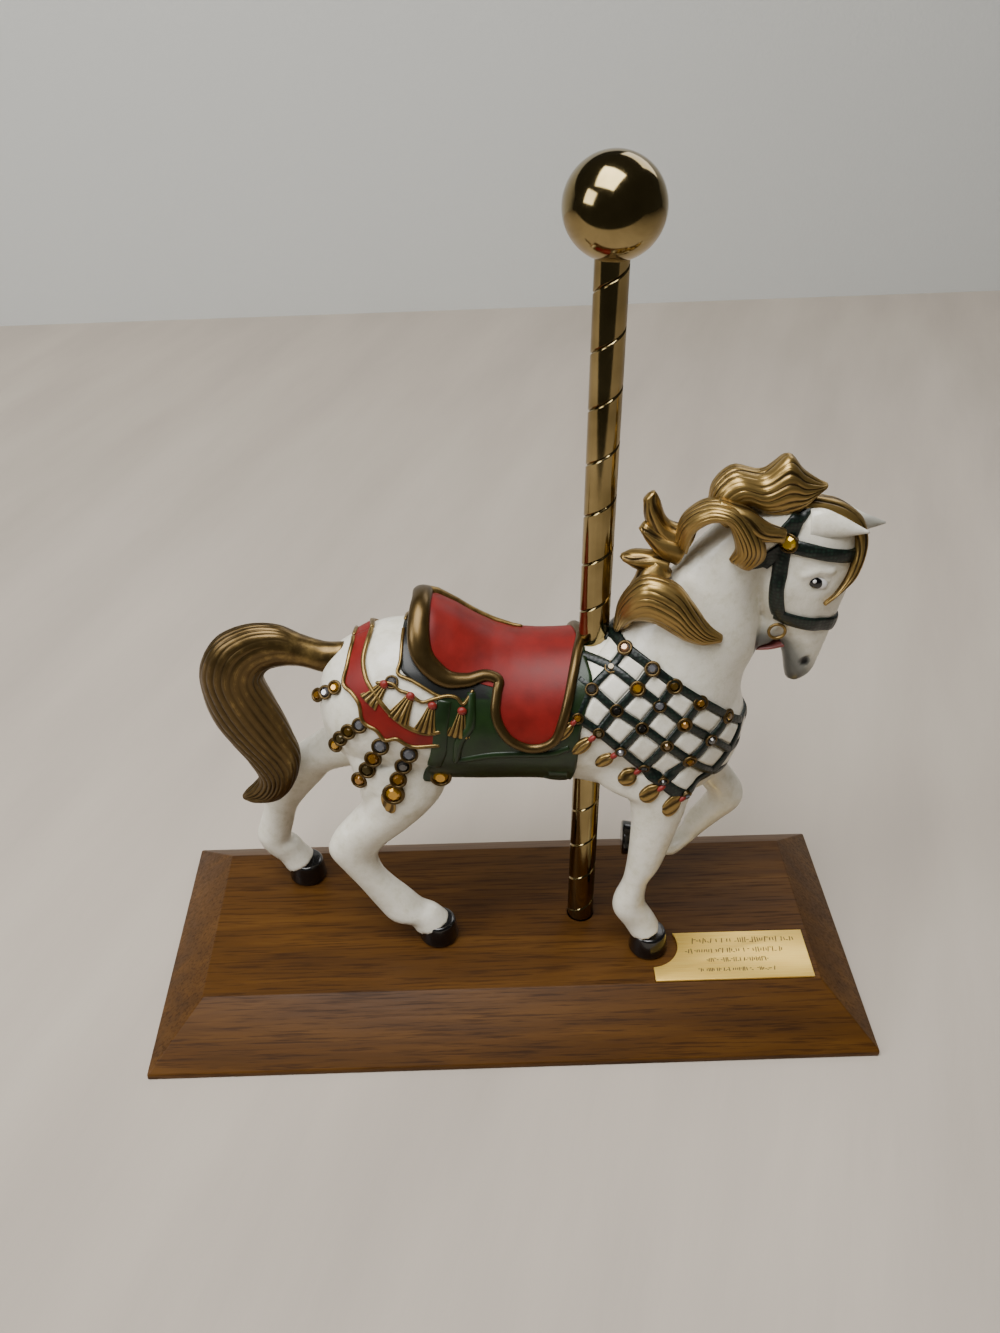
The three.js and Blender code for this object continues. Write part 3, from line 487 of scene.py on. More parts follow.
def form(rows, sides, rings, bulge=0, strands=0, depth=0, sway=0, start=-1, rub=1):
    """closed round form through outline rows, with strands carved along it"""
    rows = np.asarray(rows, float)
    middles = np.c_[(rows[:, 0] + rows[:, 2]) / 2, rows[:, 4], (rows[:, 1] + rows[:, 3]) / 2]
    spans = np.c_[(rows[:, 2] - rows[:, 0]) / 2, rows[:, 5], (rows[:, 3] - rows[:, 1]) / 2]
    shares = [min(max((k - 1) / (rings - 2), 0), 1) for k in range(rings + 1)]
    stations = [(through(middles, t), through(spans, t)) for t in shares]
    deselect()
    bpy.ops.mesh.primitive_uv_sphere_add(segments=sides, ring_count=rings)
    made = bpy.context.object
    relief = np.full(len(made.data.vertices), 0.8)
    for v in made.data.vertices:
        k = round(math.acos(max(-1, min(1, v.co.z))) / math.pi * rings)
        angle = math.atan2(v.co.y, v.co.x)
        t = shares[k]
        middle, span = stations[k]
        if k in (0, rings):
            ahead = stations[2][0] - middle if k == 0 else middle - stations[rings - 2][0]
            v.co = middle + ahead / np.linalg.norm(ahead) * (-bulge if k == 0 else bulge)
            continue
        reach = np.array([math.cos(angle) * span[0], math.sin(angle) * span[1], math.cos(angle) * span[2]])
        if strands:
            # locks drift round the form and swell and thin as they go
            phase = strands * angle + 1.5 * math.sin(2 * angle + 3 * t)
            phase += 0.9 * math.sin(3 * angle - 5 * t + 2)
            phase += sway * 2 * math.pi * t + 0.8 * math.sin(6 * t)
            lock = abs(math.sin(phase / 2)) ** 0.5
            hairs = abs(math.sin(2.5 * phase + 1.5 * math.sin(4 * t + angle))) ** 0.6
            fade = min(1, max(0, 6 * (t - start)), 8 * (1 - t) + 0.2)
            fade *= 0.62 + 0.38 * math.sin(2 * angle + 8 * t + 1.5 * math.sin(3 * angle + 4 * t))
            relief[v.index] = 1 - fade * (1 - lock * (0.66 + 0.34 * hairs))
            reach *= max(0.3, 1 - depth * (1 - relief[v.index]) / max(np.linalg.norm(reach), 0.01))
        v.co = middle + reach
    mark(made, "relief", rub * relief)
    face_out()
    return made


body = join("horse_body", [
    form(TORSO, 64, 48, 1.5),
    form(NECK, 48, 32),
    form(HEAD, 48, 40, 0.8),
    form(JAW, 24, 16, 0.6),
    form(NEAR_HIND, 32, 56),
    form(FAR_HIND, 32, 56),
    form(NEAR_FORE, 32, 56),
    form(FAR_FORE, 32, 56),
])
cast = body.modifiers.new("one casting", "REMESH")
cast.mode = "VOXEL"
cast.voxel_size = 0.8
sanded = body.modifiers.new("sanded", "SMOOTH")
sanded.factor = 0.5
sanded.iterations = 6
apply_modifiers(body)

# Carving of the body: dents and swellings along short lines, in mm
CARVING = [
    ([(92, -5.4, 137.9), (92.8, -4.9, 139.4)], 1.5, 1.1),
    ([(91, -9.1, 169.3)], 4.2, 0.9),
    ([(80.5, -9, 166), (79.5, -9, 160)], 6.5, -0.9),
    ([(94.5, -8.3, 172.8), (91, -9, 173.3), (87, -9, 171.8)], 2.2, -0.8),
    ([(88.2, -9, 169.4), (89.6, -9, 171.5), (92.6, -9, 171.2), (94, -8.4, 169.6)], 1.2, -0.6),
    ([(94, -6.5, 163), (95, -5.4, 150)], 3.2, 0.5),
    ([(76, -8.5, 172), (75.5, -8.5, 162), (78.5, -7, 155)], 3.5, 0.7),
    ([(-44.2, -20.3, 90.3), (-47, -18.2, 85), (-50.9, -16.2, 78.5), (-55, -16.5, 73.1)], 3.2, 0.5),
    ([(62, -16.5, 118), (67, -14, 108), (64, -16, 98)], 5, 0.5),
]


def press(points, lines):
    """moves points in or out near each line, the same on both sides of the head"""
    moved = points.copy()
    for stops, radius, depth in lines:
        for hand in (1, -1):
            stops_here = np.array([(x, hand * y, z) for x, y, z in stops], float)
            near = np.full(len(points), 1e9)
            if len(stops_here) == 1:
                near = np.linalg.norm(points - stops_here[0], axis=1)
            for a, b in zip(stops_here[:-1], stops_here[1:]):
                run = b - a
                t = np.clip((points - a) @ run / (run @ run), 0, 1)
                near = np.minimum(near, np.linalg.norm(points - (a + t[:, None] * run), axis=1))
            fall = np.where(near < radius, (1 + np.cos(np.pi * near / radius)) / 2, 0)
            moved -= normals * (depth * fall)[:, None]
    return moved


count = len(body.data.vertices)
points = np.empty(count * 3, np.float32)
normals = np.empty(count * 3, np.float32)
body.data.vertices.foreach_get("co", points)
body.data.vertex_normals.foreach_get("vector", normals)
points, normals = points.reshape(-1, 3).astype(float), normals.reshape(-1, 3).astype(float)
points = press(points, CARVING)
body.data.vertices.foreach_set("co", points.astype(np.float32).ravel())
body.data.update()

# Grey painted shade under the muzzle and chin, deeper lower down and further back, and dark in the nostrils
muzzle = (points[:, 0] > 76) & (points[:, 2] > 126)
underside_shade = np.clip((146 - points[:, 2]) / 14 + (92 - points[:, 0]) / 9, 0, 1)
shade = underside_shade * np.clip((151 - points[:, 2]) / 6, 0, 1) * muzzle * 0.8
for hand in (1, -1):
    nostril = np.linalg.norm(points - (92.2, hand * -5, 138.2), axis=1)
    shade = np.maximum(shade, np.clip((2.6 - nostril) / 1.4, 0, 1))
mark(body, "shade", shade)

# Gloss white enamel over resin: warm white, thinly speckled where dust settled
# in the paint, with grey painted shade under the muzzle and dark in the nostrils.
white, tree, shader, place = new_material("gloss_white_enamel",
                                          {"IOR": 1.5, "Roughness": 0.34, "Coat Weight": 0.4,
                                           "Coat Roughness": 0.12})
clouds = add_node(tree, "TexNoise", {"Scale": 260, "Detail": 6, "Roughness": 0.7}, {"Vector": place})
tone = add_node(tree, "ValToRGB", {"stops": [(0.3, "#d9d3bd"), (0.5, "#e9e4d3"), (0.7, "#f0ebdd")]},
                {"Fac": clouds.outputs[0]})
shaded = add_node(tree, "Attribute", {"attribute_name": "shade"})
grey = add_node(tree, "ValToRGB", {"stops": [(0, "#ffffff"), (0.55, "#7f8284"), (1, "#1b1a1c")]},
                {"Fac": shaded.outputs["Fac"]})
colour = add_node(tree, "Mix", {"data_type": "RGBA", "blend_type": "MULTIPLY", 0: 1},
                  {6: tone.outputs[0], 7: grey.outputs[0]})
tree.links.new(colour.outputs[2], shader.inputs["Base Color"])
grain = add_node(tree, "TexNoise", {"Scale": 420, "Detail": 6, "Roughness": 0.7}, {"Vector": place})
bump(tree, shader, grain.outputs[0], 0.5, 0.0004)
body.data.materials.append(white)
body.data.shade_smooth()
skin_tree = BVHTree.FromPolygons([Vector(p) for p in points], [tuple(f.vertices) for f in body.data.polygons])

# Ears: cast with the head; grey painted shade on their lower part stands in for the forward hollow, not
# modelled
ears = [form(NEAR_EAR, 24, 20), form(FAR_EAR, 24, 20)]
for ear in ears:
    mark(ear, "shade", [0.4 * min(max((185.8 - v.co.z) / 2.5, 0), 1) for v in ear.data.vertices])
    ear.data.materials.append(white)
    ear.data.shade_smooth()

# Hooves: cast with the legs and painted gloss black, with flat soles
HOOVES = [(-25.5, -13.3, 7.3), (-79.1, 15.3, 7.2), (50.9, -16, 7.2)]
HOOF_HEIGHT = 8.5
RAISED_HOOF = (45.4, 14, 43.4, 6.6)
black = new_material("gloss_black_enamel",
                     {"Base Color": linear("#0d0c0d"), "Roughness": 0.22, "Coat Weight": 0.5,
                      "Coat Roughness": 0.08})[0]


def hoof(radius, location, rotation):
    deselect()
    bpy.ops.mesh.primitive_cylinder_add(vertices=40, radius=radius, depth=HOOF_HEIGHT, location=location,
                                        rotation=rotation)
    made = bpy.context.object
    for v in made.data.vertices:
        if v.co.z > 0:
            v.co.x *= 0.82
            v.co.y *= 0.82
    bpy.ops.object.transform_apply(location=True, rotation=True, scale=True)
    add_bevel(made, "rounded rim", 1.1, 4)
    apply_modifiers(made)
    made.data.materials.append(black)
    made.data.shade_smooth()
    return made


hooves = [hoof(r, (x, y, BOARD[2] + 0.3 + HOOF_HEIGHT / 2), (0, 0, 0)) for x, y, r in HOOVES]
hooves.append(hoof(RAISED_HOOF[3], RAISED_HOOF[:3], (0, math.radians(90), 0)))

# Eyes: painted, dark, in a modelled lid, each with a small white dot as a painted highlight
eye_black = new_material("eye_black_enamel",
                         {"Base Color": linear("#0a090b"), "Roughness": 0.2, "Coat Weight": 0.3})[0]
eye_white = new_material("eye_white_enamel", {"Base Color": linear("#e9e7e4"), "Roughness": 0.25})[0]
eyes = []
for hand in (1, -1):
    # the white of the eye, its dark, and the small white dot that is a painted highlight
    for size, ahead, aside, up, paint in (((3.3, 1.2, 2.1), 0, 0.3, 0, eye_white),
                                          ((2.4, 1.3, 2), -0.5, 0.5, 0, eye_black),
                                          ((0.6, 0.4, 0.6), -1.2, 1.5, 0.8, eye_white)):
        deselect()
        bpy.ops.mesh.primitive_uv_sphere_add(segments=24, ring_count=16, radius=1, scale=size,
                                             rotation=(0, math.radians(30), 0),
                                             location=(91.2 + ahead, hand * (-8.2 - aside), 169.1 + up))
        bpy.ops.object.transform_apply(location=True, rotation=True, scale=True)
        bpy.context.object.data.materials.append(paint)
        bpy.context.object.data.shade_smooth()
        eyes.append(bpy.context.object)
# Tongue: painted pink in the open mouth, above the hanging lower lip
TONGUE = [
    [85.8, 143.9, 86, 141.4, 0, 3.2],
    [81.6, 142.5, 81.4, 140.3, 0, 3.3],
    [77.4, 141.5, 77.2, 139.7, 0, 2.6],
]
pink = new_material("pink_enamel", {"Base Color": linear("#a35a55"), "Roughness": 0.35})[0]
tongue = form(TONGUE, 24, 16, 0.5)
tongue.data.materials.append(pink)
tongue.data.shade_smooth()

body = join("horse_body", [body, tongue] + ears + hooves + eyes)
hand_over(body, ["horse"], ON_POLE)

# Mane, forelock and tail: cast with the horse in deep flowing strands and
# painted in antique gold, which is rubbed back to a brighter gold on the ridges.
TAIL = [
  [-53.3, 138.1, -58, 126, 0, 4.4],
  [-59.5, 137.9, -62.5, 127.8, 0, 4.6],
  [-66.6, 140.2, -67.5, 129.4, 0, 4.8],
  [-74.8, 144.1, -72.9, 129.3, 0, 5.3],
  [-85.1, 143.8, -78.2, 127.7, 0, 6],
  [-95.2, 138.6, -80.7, 124.6, 0, 7],
  [-101.5, 128, -80.8, 121.5, 0, 7.8],
  [-102, 116.6, -78.8, 115.4, 0, 8],
  [-99.8, 106.4, -76, 107.4, 0, 8],
  [-95.6, 98.4, -73.7, 99.3, 0, 7.8],
  [-91.6, 91.5, -72.1, 92.2, 0, 7.2],
  [-88.1, 84, -72.9, 85.5, 0, 6.4],
  [-88.1, 80.4, -75.9, 77.6, 0, 5.6],
  [-90.6, 77.1, -81.2, 71.4, 0, 4.5],
  [-93, 74.6, -89.2, 69.5, 0, 3],
  [-94.7, 72.3, -93.6, 70.4, 0, 1.4],
]
LOW_LOCK = [
  [32.2, 147.8, 35.4, 150, -2, 4.5],
  [33.6, 160.9, 38.6, 154.5, -7, 5.5],
  [39.8, 171, 43.5, 155.6, -10.5, 6],
  [49.2, 169.8, 49.6, 152.6, -12, 6],
  [55, 163.6, 53.4, 150.9, -13, 5.4],
  [59.6, 157.1, 58.5, 149.8, -13.3, 4],
  [64.6, 152.6, 63.7, 150.4, -13, 2],
]
BACK_LOCKS = [
  [
    [48.3, 173.7, 45.7, 166.6, -2, 4],
    [42.6, 174.7, 41.8, 167.7, -1.5, 4],
    [36.9, 174.6, 37.7, 168.7, -1, 3.4],
    [33.5, 173.2, 34.2, 170.8, -1, 1.6],
  ],
  [
    [53.2, 179.9, 49.6, 170.6, -2, 4],
    [46, 181.1, 44.7, 173.2, -1.5, 4],
    [40.4, 184.2, 40.7, 177.6, -1, 3],
    [38.6, 182.8, 39.1, 180.4, -1, 1.6],
  ],
  [
    [55.3, 182.5, 51.7, 175, -1, 4],
    [47.1, 184.4, 44.9, 177.3, 0, 4],
    [43.7, 191.5, 40, 183.8, 0, 3.2],
    [42.2, 193.8, 38.9, 190.9, 0, 1.8],
  ],
]
MIDDLE_LOCK = [
  [48.6, 180.7, 52.7, 175.9, -4, 4],
  [50, 188.5, 54.1, 184.1, -6, 5],
  [56.2, 194.7, 57.9, 188.7, -8, 5.6],
  [63.9, 194.6, 62.1, 189, -9.5, 5.6],
  [70, 189.4, 64.4, 184.6, -10.5, 5.2],
  [73.7, 183.3, 65.3, 180.5, -11, 4.6],
  [74.3, 177.8, 64.1, 177.1, -10.5, 3],
  [70.7, 173.6, 66.5, 175.2, -10, 1.4],
]
THIN_LOCK = [
  [60, 196.1, 58.4, 190, -8, 3.6],
  [68.2, 193.7, 64.7, 187.8, -10, 3.8],
  [73.7, 189.7, 70.7, 184, -10.5, 3.4],
  [79.6, 186.8, 78.8, 182.4, -9.5, 2],
]
TOP_LOCK = [
  [57.5, 190.2, 64.6, 183.7, -1, 6],
  [58.4, 197.3, 66.4, 189.1, -1.5, 7],
  [63.6, 202.4, 70.4, 190.5, -1.5, 7.5],
  [72.1, 201.4, 74.5, 188.4, -1.5, 7.5],
  [78.7, 206.6, 80.5, 187.2, -1.5, 7],
  [83.9, 201.8, 84.8, 189.9, -1.5, 5.6],
  [88.6, 198.6, 88.2, 194.3, -1.5, 3.6],
  [91, 197.7, 90.5, 196.1, -1.5, 1.6],
]
FORELOCK = [
  [84, 194.4, 85.5, 189, -1.5, 3.6],
  [91.5, 193.2, 93, 187, -0.8, 4.2],
  [97, 191.4, 97.2, 185.2, -0.8, 4.4],
  [102.6, 187.4, 99.8, 182.4, -1.6, 3.8],
  [104.8, 181.8, 101, 179.2, -3.4, 3],
  [104.6, 175.9, 100.8, 175.2, -5, 2.8],
  [102.9, 170.1, 99.4, 169.8, -6.2, 2.3],
  [99.2, 165.4, 96.8, 164.9, -7.3, 1.7],
  [95, 161, 93.9, 161.6, -8.3, 0.8],
]
NAPE_LOCK = [
  [42.5, 173.5, 48, 169.5, -2, 4],
  [39, 170, 49, 168, -2.5, 5.2],
  [37.7, 166, 46.7, 165.8, -3, 5.6],
  [35.2, 160.7, 44, 163, -3.5, 5.6],
  [33, 155.2, 41.2, 158.8, -4, 5.4],
  [32.3, 149.8, 38.5, 151.5, -3, 4.5],
]

# Antique gold paint: metallic acrylic, brown in the grooves and bright where it
# is rubbed, with brush marks some 0.5 mm apart.
gold, tree, shader, place = new_material("antique_gold_paint",
                                         {"Metallic": 0.85, "Coat Weight": 0.1, "Coat Roughness": 0.2})
strand = add_node(tree, "Attribute", {"attribute_name": "relief"})
worn = add_node(tree, "TexNoise", {"Scale": 260, "Detail": 4, "Roughness": 0.65}, {"Vector": place})
mixed = add_node(tree, "Math", {"operation": "MULTIPLY_ADD", 1: 0.35},
                 {0: worn.outputs[0], 2: strand.outputs["Fac"]})
tint(tree, shader, mixed.outputs[0], [(0.25, "#2c210e"), (0.85, "#5d4a29"), (1.0, "#9c8049")])
vary_gloss(tree, shader, worn.outputs[0], {"To Min": 0.26, "To Max": 0.42})
bump(tree, shader, worn.outputs[0], 0.2, 0.00015)

hair = [
    form(TAIL, 240, 120, 0.6, 22, 0.75, -7, 0.15, 0.7),
    form(LOW_LOCK, 240, 64, 0.5, 20, 0.65, -2, -1, 1.25),
    form(MIDDLE_LOCK, 240, 64, 0.6, 17, 0.6, -2, -1, 1.25),
    form(THIN_LOCK, 96, 40, 0.5, 7, 0.5, 0.5),
    form(TOP_LOCK, 240, 64, 0.6, 19, 0.65, 2, -1, 1.25),
    form(FORELOCK, 96, 50, 0.3, 6, 0.5, 0.3),
    form(NAPE_LOCK, 96, 40, 0.5, 8, 0.6, 1),
] + [form(rows, 90, 32, 0.8, 6, 0.4, 0.5) for rows in BACK_LOCKS]
for lock in hair:
    lock.data.materials.append(gold)
    lock.data.shade_smooth()
hair = join("mane_and_tail", hair)
hand_over(hair, ["horse"], ON_POLE)

# Saddle: cast on the horse's back with a raised cantle and hanging flaps, its
# seat painted satin red inside a thick rolled border in antique gold.
CANTLE = [[-32, 8], [-28, 9.4], [-23, 9.4], [-17, 7.5], [-11, 4.6], [-5, 2], [1, 0.6], [24, 0]]
SADDLE = [
  [0, -27, 22],
  [13, -27.4, 21.4],
  [26, -27, 20.6],
  [36, -23, 20],
  [42, -12, 19.6],
  [47, -3.2, 19],
  [58, -3.6, 18.4],
  [70, -3, 17.4],
  [82, -0.4, 16],
  [93, 6, 11.6],
]
BORDER = [
  [22.4, 2, 1.6],
  [21.4, 16, 1.6],
  [20.2, 34, 1.6],
  [18.8, 55, 1.6],
  [17.2, 72, 1.6],
  [15.2, 86, 1.6],
  [11.2, 93, 1.6],
  [6.2, 93.5, 1.6],
  [1, 87, 1.6],
  [-2.2, 76, 1.6],
  [-3.6, 64, 1.6],
  [-3.2, 50, 1.6],
  [-3, 41, 1.7],
  [-7, 38, 1.8],
  [-12.5, 42, 2],
  [-18.5, 42, 2.3],
  [-23, 36.5, 2.5],
  [-26.4, 29, 2.6],
  [-27.6, 20, 2.6],
  [-27.6, 9, 2.5],
  [-27.4, 0, 2.4],
]
SADDLE_THICK = 1.4
CANTLE_SPREAD = 48
CORE_Z = 118
SINK = 1.2


def skin(p, core, reach):
    """point on the body and the way out of it, on the line from a core through p"""
    out = (Vector(p) - core).normalized()
    at, normal, _, _ = skin_tree.ray_cast(core + out * reach, -out)
    return (at, out, normal) if at else (Vector(p), out, out)


def trunk(p):
    return skin(p, Vector((min(max(p[0], -42), 52), 0, CORE_Z)), 90)


def skull(p):
    return skin(p, Vector((88.5, 0, p[2])), 18)


def throat(p):
    return skin(p, Vector((80, 0, p[2])), 22)


def poll(p):
    return skin(p, Vector((87, 0, 178)), 25)


def around(x, degrees):
    angle = math.radians(degrees)
    return skin((x, -math.sin(angle), CORE_Z + math.cos(angle)), Vector((x, 0, CORE_Z)), 90)


def along(table, x):
    """value at x of a table of rows that start with x"""
    k = next((i for i, row in enumerate(table) if row[0] >= x), len(table) - 1)
    k = max(1, k)
    before, after = np.array(table[k - 1], float), np.array(table[k], float)
    t = min(max((x - before[0]) / (after[0] - before[0]), 0), 1)
    return (before + (after - before) * t)[1:]


def slab(columns, rows, place):
    """closed sheet: a grid is extruded, and place(u, v, is_top) sets its points"""
    deselect()
    bpy.ops.mesh.primitive_grid_add(x_subdivisions=columns, y_subdivisions=rows, size=2)
    made = bpy.context.object
    bpy.ops.object.mode_set(mode="EDIT")
    bpy.ops.mesh.select_all(action="SELECT")
    bpy.ops.mesh.extrude_region_move(TRANSFORM_OT_translate={"value": (0, 0, 1)})
    bpy.ops.object.mode_set(mode="OBJECT")
    for v in made.data.vertices:
        v.co = place((v.co.x + 1) / 2, (v.co.y + 1) / 2, v.co.z > 0.5)
    face_out()
    made.data.shade_smooth()
    return made


def seat_rise(x, angle):
    fall = math.cos(min(1, abs(angle) / CANTLE_SPREAD) * math.pi / 2) ** 2
    return SADDLE_THICK + float(along(CANTLE, x)[0]) * fall


def rolled(stops, sides, rings):
    """closed rolled cord through stops of point, way out and radius"""
    rows = np.array([[*at, *out, radius] for at, out, radius in stops])
    rows = np.vstack([rows[-1:], rows, rows[:2]])
    deselect()
    bpy.ops.mesh.primitive_torus_add(major_segments=rings, minor_segments=sides, major_radius=2,
                                     minor_radius=1)
    made = bpy.context.object
    last = len(rows) - 1
    for v in made.data.vertices:
        turn = (math.atan2(v.co.y, v.co.x) / (2 * math.pi)) % 1
        t = (1 + turn * (last - 2)) / last
        row, ahead = through(rows, t), through(rows, t + 0.002) - through(rows, t - 0.002)
        tangent, out = Vector(ahead[:3]).normalized(), Vector(row[3:6]).normalized()
        side = tangent.cross(out).normalized()
        up = side.cross(tangent)
        angle = math.atan2(v.co.z, math.hypot(v.co.x, v.co.y) - 2)
        radius = float(row[6])
        v.co = Vector(row[:3]) + radius * ((0.44 + 0.35 * radius) * math.cos(angle) * side
                                           + 0.9 * math.sin(angle) * up)
    face_out()
    made.data.shade_smooth()
    return made


def full_relief(piece, value=0.75):
    """marks a piece without strands as evenly rubbed gold"""
    mark(piece, "relief", np.full(len(piece.data.vertices), value))
    piece.data.materials.append(gold)
    return piece


# Satin red acrylic: brushed on, a little uneven, barely glossy
red, tree, shader, place = new_material("satin_red_acrylic",
                                        {"Specular IOR Level": 0.3, "Coat Weight": 0.06,
                                         "Coat Roughness": 0.35})
brushing = add_node(tree, "TexNoise", {"Scale": 160, "Detail": 5}, {"Vector": place})
tint(tree, shader, brushing.outputs[0], [(0.3, "#68100b"), (0.75, "#831610")])
vary_gloss(tree, shader, brushing.outputs[0], {"To Min": 0.42, "To Max": 0.6})
grain = add_node(tree, "TexNoise", {"Scale": 1500, "Detail": 2}, {"Vector": place})
bump(tree, shader, grain.outputs[0], 0.2, 0.0001)


def on_saddle(u, v, top):
    angle = -93 + 186 * v
    rear, front = along(SADDLE, abs(angle))
    x = rear + u * (front - rear)
    at, out, _ = around(x, angle)
    return at + out * (seat_rise(x, angle) if top else -SINK)


seat = slab(48, 96, on_saddle)
seat.data.materials.append(red)
loop = BORDER + [(x, -angle, radius) for x, angle, radius in BORDER[-2::-1]]
stops = []
for x, angle, radius in loop:
    at, out, _ = around(x, angle)
    stops.append((at + out * seat_rise(x, angle), out, radius))
border = full_relief(rolled(stops, 20, 260), 0.6)
saddle = join("saddle", [seat, border])
hand_over(saddle, ["horse"], ON_POLE)

# Blanket: cast under the saddle from the loin to the withers and down to the
# girth, painted dark green, near black behind the cantle.
BLANKET = [
  [0, -33.6, 23],
  [20, -33.6, 24],
  [37, -33, 26],
  [45, -29, 26],
  [52, -23, 25.4],
  [58, -19.4, 24.6],
  [78, -20.4, 23],
  [100, -22.2, 22.4],
  [118, -24.6, 22],
  [132, -27.6, 21],
  [141, -21, 20.6],
]
GIRTH = [[15.6, -19, 100], [15.6, -14, 94], [15.6, -6, 91], [15.6, 6, 91], [15.6, 14, 94], [15.6, 19, 100]]
BLANKET_THICK = 0.9
green, tree, shader, place = new_material("dark_green_enamel",
                                          {"Roughness": 0.4, "Specular IOR Level": 0.35, "Coat Weight": 0.15,
                                           "Coat Roughness": 0.15})
brushing = add_node(tree, "TexNoise", {"Scale": 180, "Detail": 4}, {"Vector": place})
tone = add_node(tree, "ValToRGB", {"stops": [(0.3, "#0e1f08"), (0.75, "#1a310f")]},
                {"Fac": brushing.outputs[0]})
dark = add_node(tree, "Attribute", {"attribute_name": "shade"})
colour = add_node(tree, "Mix", {"data_type": "RGBA", 7: linear("#0e0f0c")},
                  {0: dark.outputs["Fac"], 6: tone.outputs[0]})
tree.links.new(colour.outputs[2], shader.inputs["Base Color"])
grain = add_node(tree, "TexNoise", {"Scale": 1200, "Detail": 2}, {"Vector": place})
bump(tree, shader, grain.outputs[0], 0.15, 0.0001)


def on_blanket(u, v, top):
    angle = -141 + 282 * v
    rear, front = along(BLANKET, abs(angle))
    x = rear + u * (front - rear)
    at, out, _ = around(x, angle)
    return at + out * (BLANKET_THICK if top else -SINK)


blanket = slab(48, 140, on_blanket)
shade = []
for v in blanket.data.vertices:
    angle = abs(math.degrees(math.atan2(-v.co.y, v.co.z - CORE_Z)))
    shade.append(1.0 if angle < 56 and v.co.x < -6 else 0.0)
mark(blanket, "shade", shade)
blanket.data.materials.append(green)


def band(points, widths, height, across, steps, on=trunk, crown=0.0, sink=SINK):
    """band laid on the body through points, with its width at each"""
    def place(u, v, top):
        s = 2 * u - 1
        at, out, _ = on(through(points, v))
        ahead = Vector(through(points, min(1, v + 0.01)) - through(points, max(0, v - 0.01)))
        side = ahead.cross(out).normalized()
        width = float(through([[w] for w in widths], v)[0])
        at, out, _ = on(at + side * (s * width / 2))
        return at + out * ((height + crown * (1 - s * s)) if top else -sink)
    return slab(across, steps, place)


girth = band(GIRTH, [7.5] * len(GIRTH), BLANKET_THICK, 6, 40, crown=0.4)
girth.data.materials.append(green)
folds = [
    band([(-19.3, -19.9, 131), (-20.5, -22.5, 124), (-21.1, -23.3, 117.3), (-21.5, -23.2, 113.5),
          (-23.4, -22.6, 106)],
         [4.4, 4.8, 5, 5, 4.4], BLANKET_THICK, 8, 40, crown=0.45),
    band([(-11.1, -17.9, 132.7), (-11.4, -22.3, 124.1), (-14.8, -23.3, 118.2), (-16.1, -22.5, 110)],
         [2.6, 3.2, 3.2, 2.4], BLANKET_THICK, 8, 40, crown=0.9),
    band([(-16, -22.6, 110), (-6.3, -23.2, 112.6), (2.4, -23, 113.4), (13, -22.7, 113.6), (19.5, -22.5, 116)],
         [2.4, 2.6, 2.6, 2.6, 2.4], BLANKET_THICK, 8, 60, crown=0.7),
    band([(13.2, -20.5, 101.5), (16.2, -20.5, 101.5), (19.2, -20.5, 101.5)], [5, 5, 5], BLANKET_THICK, 8, 12,
         crown=0.7),
]
for fold in folds:
    fold.data.materials.append(green)
blanket = join("blanket", [blanket, girth] + folds)
hand_over(blanket, ["horse"], ON_POLE)

# Crupper: cast band from the tail head down both haunches to the blanket, in
# satin red with a scalloped edge, piped in antique gold.
CRUPPER_OUTER = [(-49.5, 0), (-49.5, 11), (-50.3, 29), (-51.2, 45), (-48.4, 53), (-46.1, 62), (-45.4, 74),
                 (-44, 79), (-40.9, 83),
                 (-38.4, 91), (-34.7, 89), (-31.6, 94), (-29, 96), (-25.3, 95), (-20.5, 93)]
CRUPPER_INNER = [(-43.7, 0), (-44.2, 10), (-45.2, 27), (-44.2, 40), (-42.6, 48), (-39.4, 59), (-34.9, 71),
                 (-30.3, 79), (-25.1, 83),
                 (-20.4, 81)]


def at_length(rows, t):
    """point at a share of a line's length, straight between its rows"""
    rows = np.array(rows, float)
    steps = np.linalg.norm((rows[1:] - rows[:-1]) * (1, 0.45), axis=1)
    reach = np.r_[0, np.cumsum(steps)] / steps.sum()
    return [np.interp(t, reach, rows[:, 0]), np.interp(t, reach, rows[:, 1])]


def cord(points, radius, sides=8, rings=60, on=trunk, lift=0.0):
    """thin round cord laid on the body through points"""
    deselect()
    bpy.ops.mesh.primitive_uv_sphere_add(segments=sides, ring_count=rings)
    made = bpy.context.object
    radii = [[r] for r in radius] if isinstance(radius, list) else [[radius], [radius]]
    for v in made.data.vertices:
        k = round(math.acos(max(-1, min(1, v.co.z))) / math.pi * rings)
        t = k / rings
        at, out, _ = on(through(points, t))
        ahead = Vector(through(points, min(1, t + 0.01)) - through(points, max(0, t - 0.01)))
        side = ahead.cross(out).normalized()
        angle = math.atan2(v.co.y, v.co.x)
        size = 0 if k in (0, rings) else float(through(radii, t)[0])
        v.co = at + out * lift + size * (math.cos(angle) * side + math.sin(angle) * out)
    face_out()
    made.data.shade_smooth()
    return made


crupper = []
for hand in (1, -1):
    def on_crupper(u, v, top):
        outer, inner = at_length(CRUPPER_OUTER, v), at_length(CRUPPER_INNER, v)
        at, out, _ = around(outer[0] + u * (inner[0] - outer[0]),
                            hand * (outer[1] + u * (inner[1] - outer[1])))
        return at + out * (1.0 if top else -SINK)
    sheet = slab(12, 80, on_crupper)
    sheet.data.materials.append(red)
    crupper.append(sheet)
    for edge in (CRUPPER_OUTER, CRUPPER_INNER):
        points = [around(x, hand * angle)[0] for x, angle in edge]
        crupper.append(full_relief(cord(points, 0.75, 8, 90, lift=0.9)))
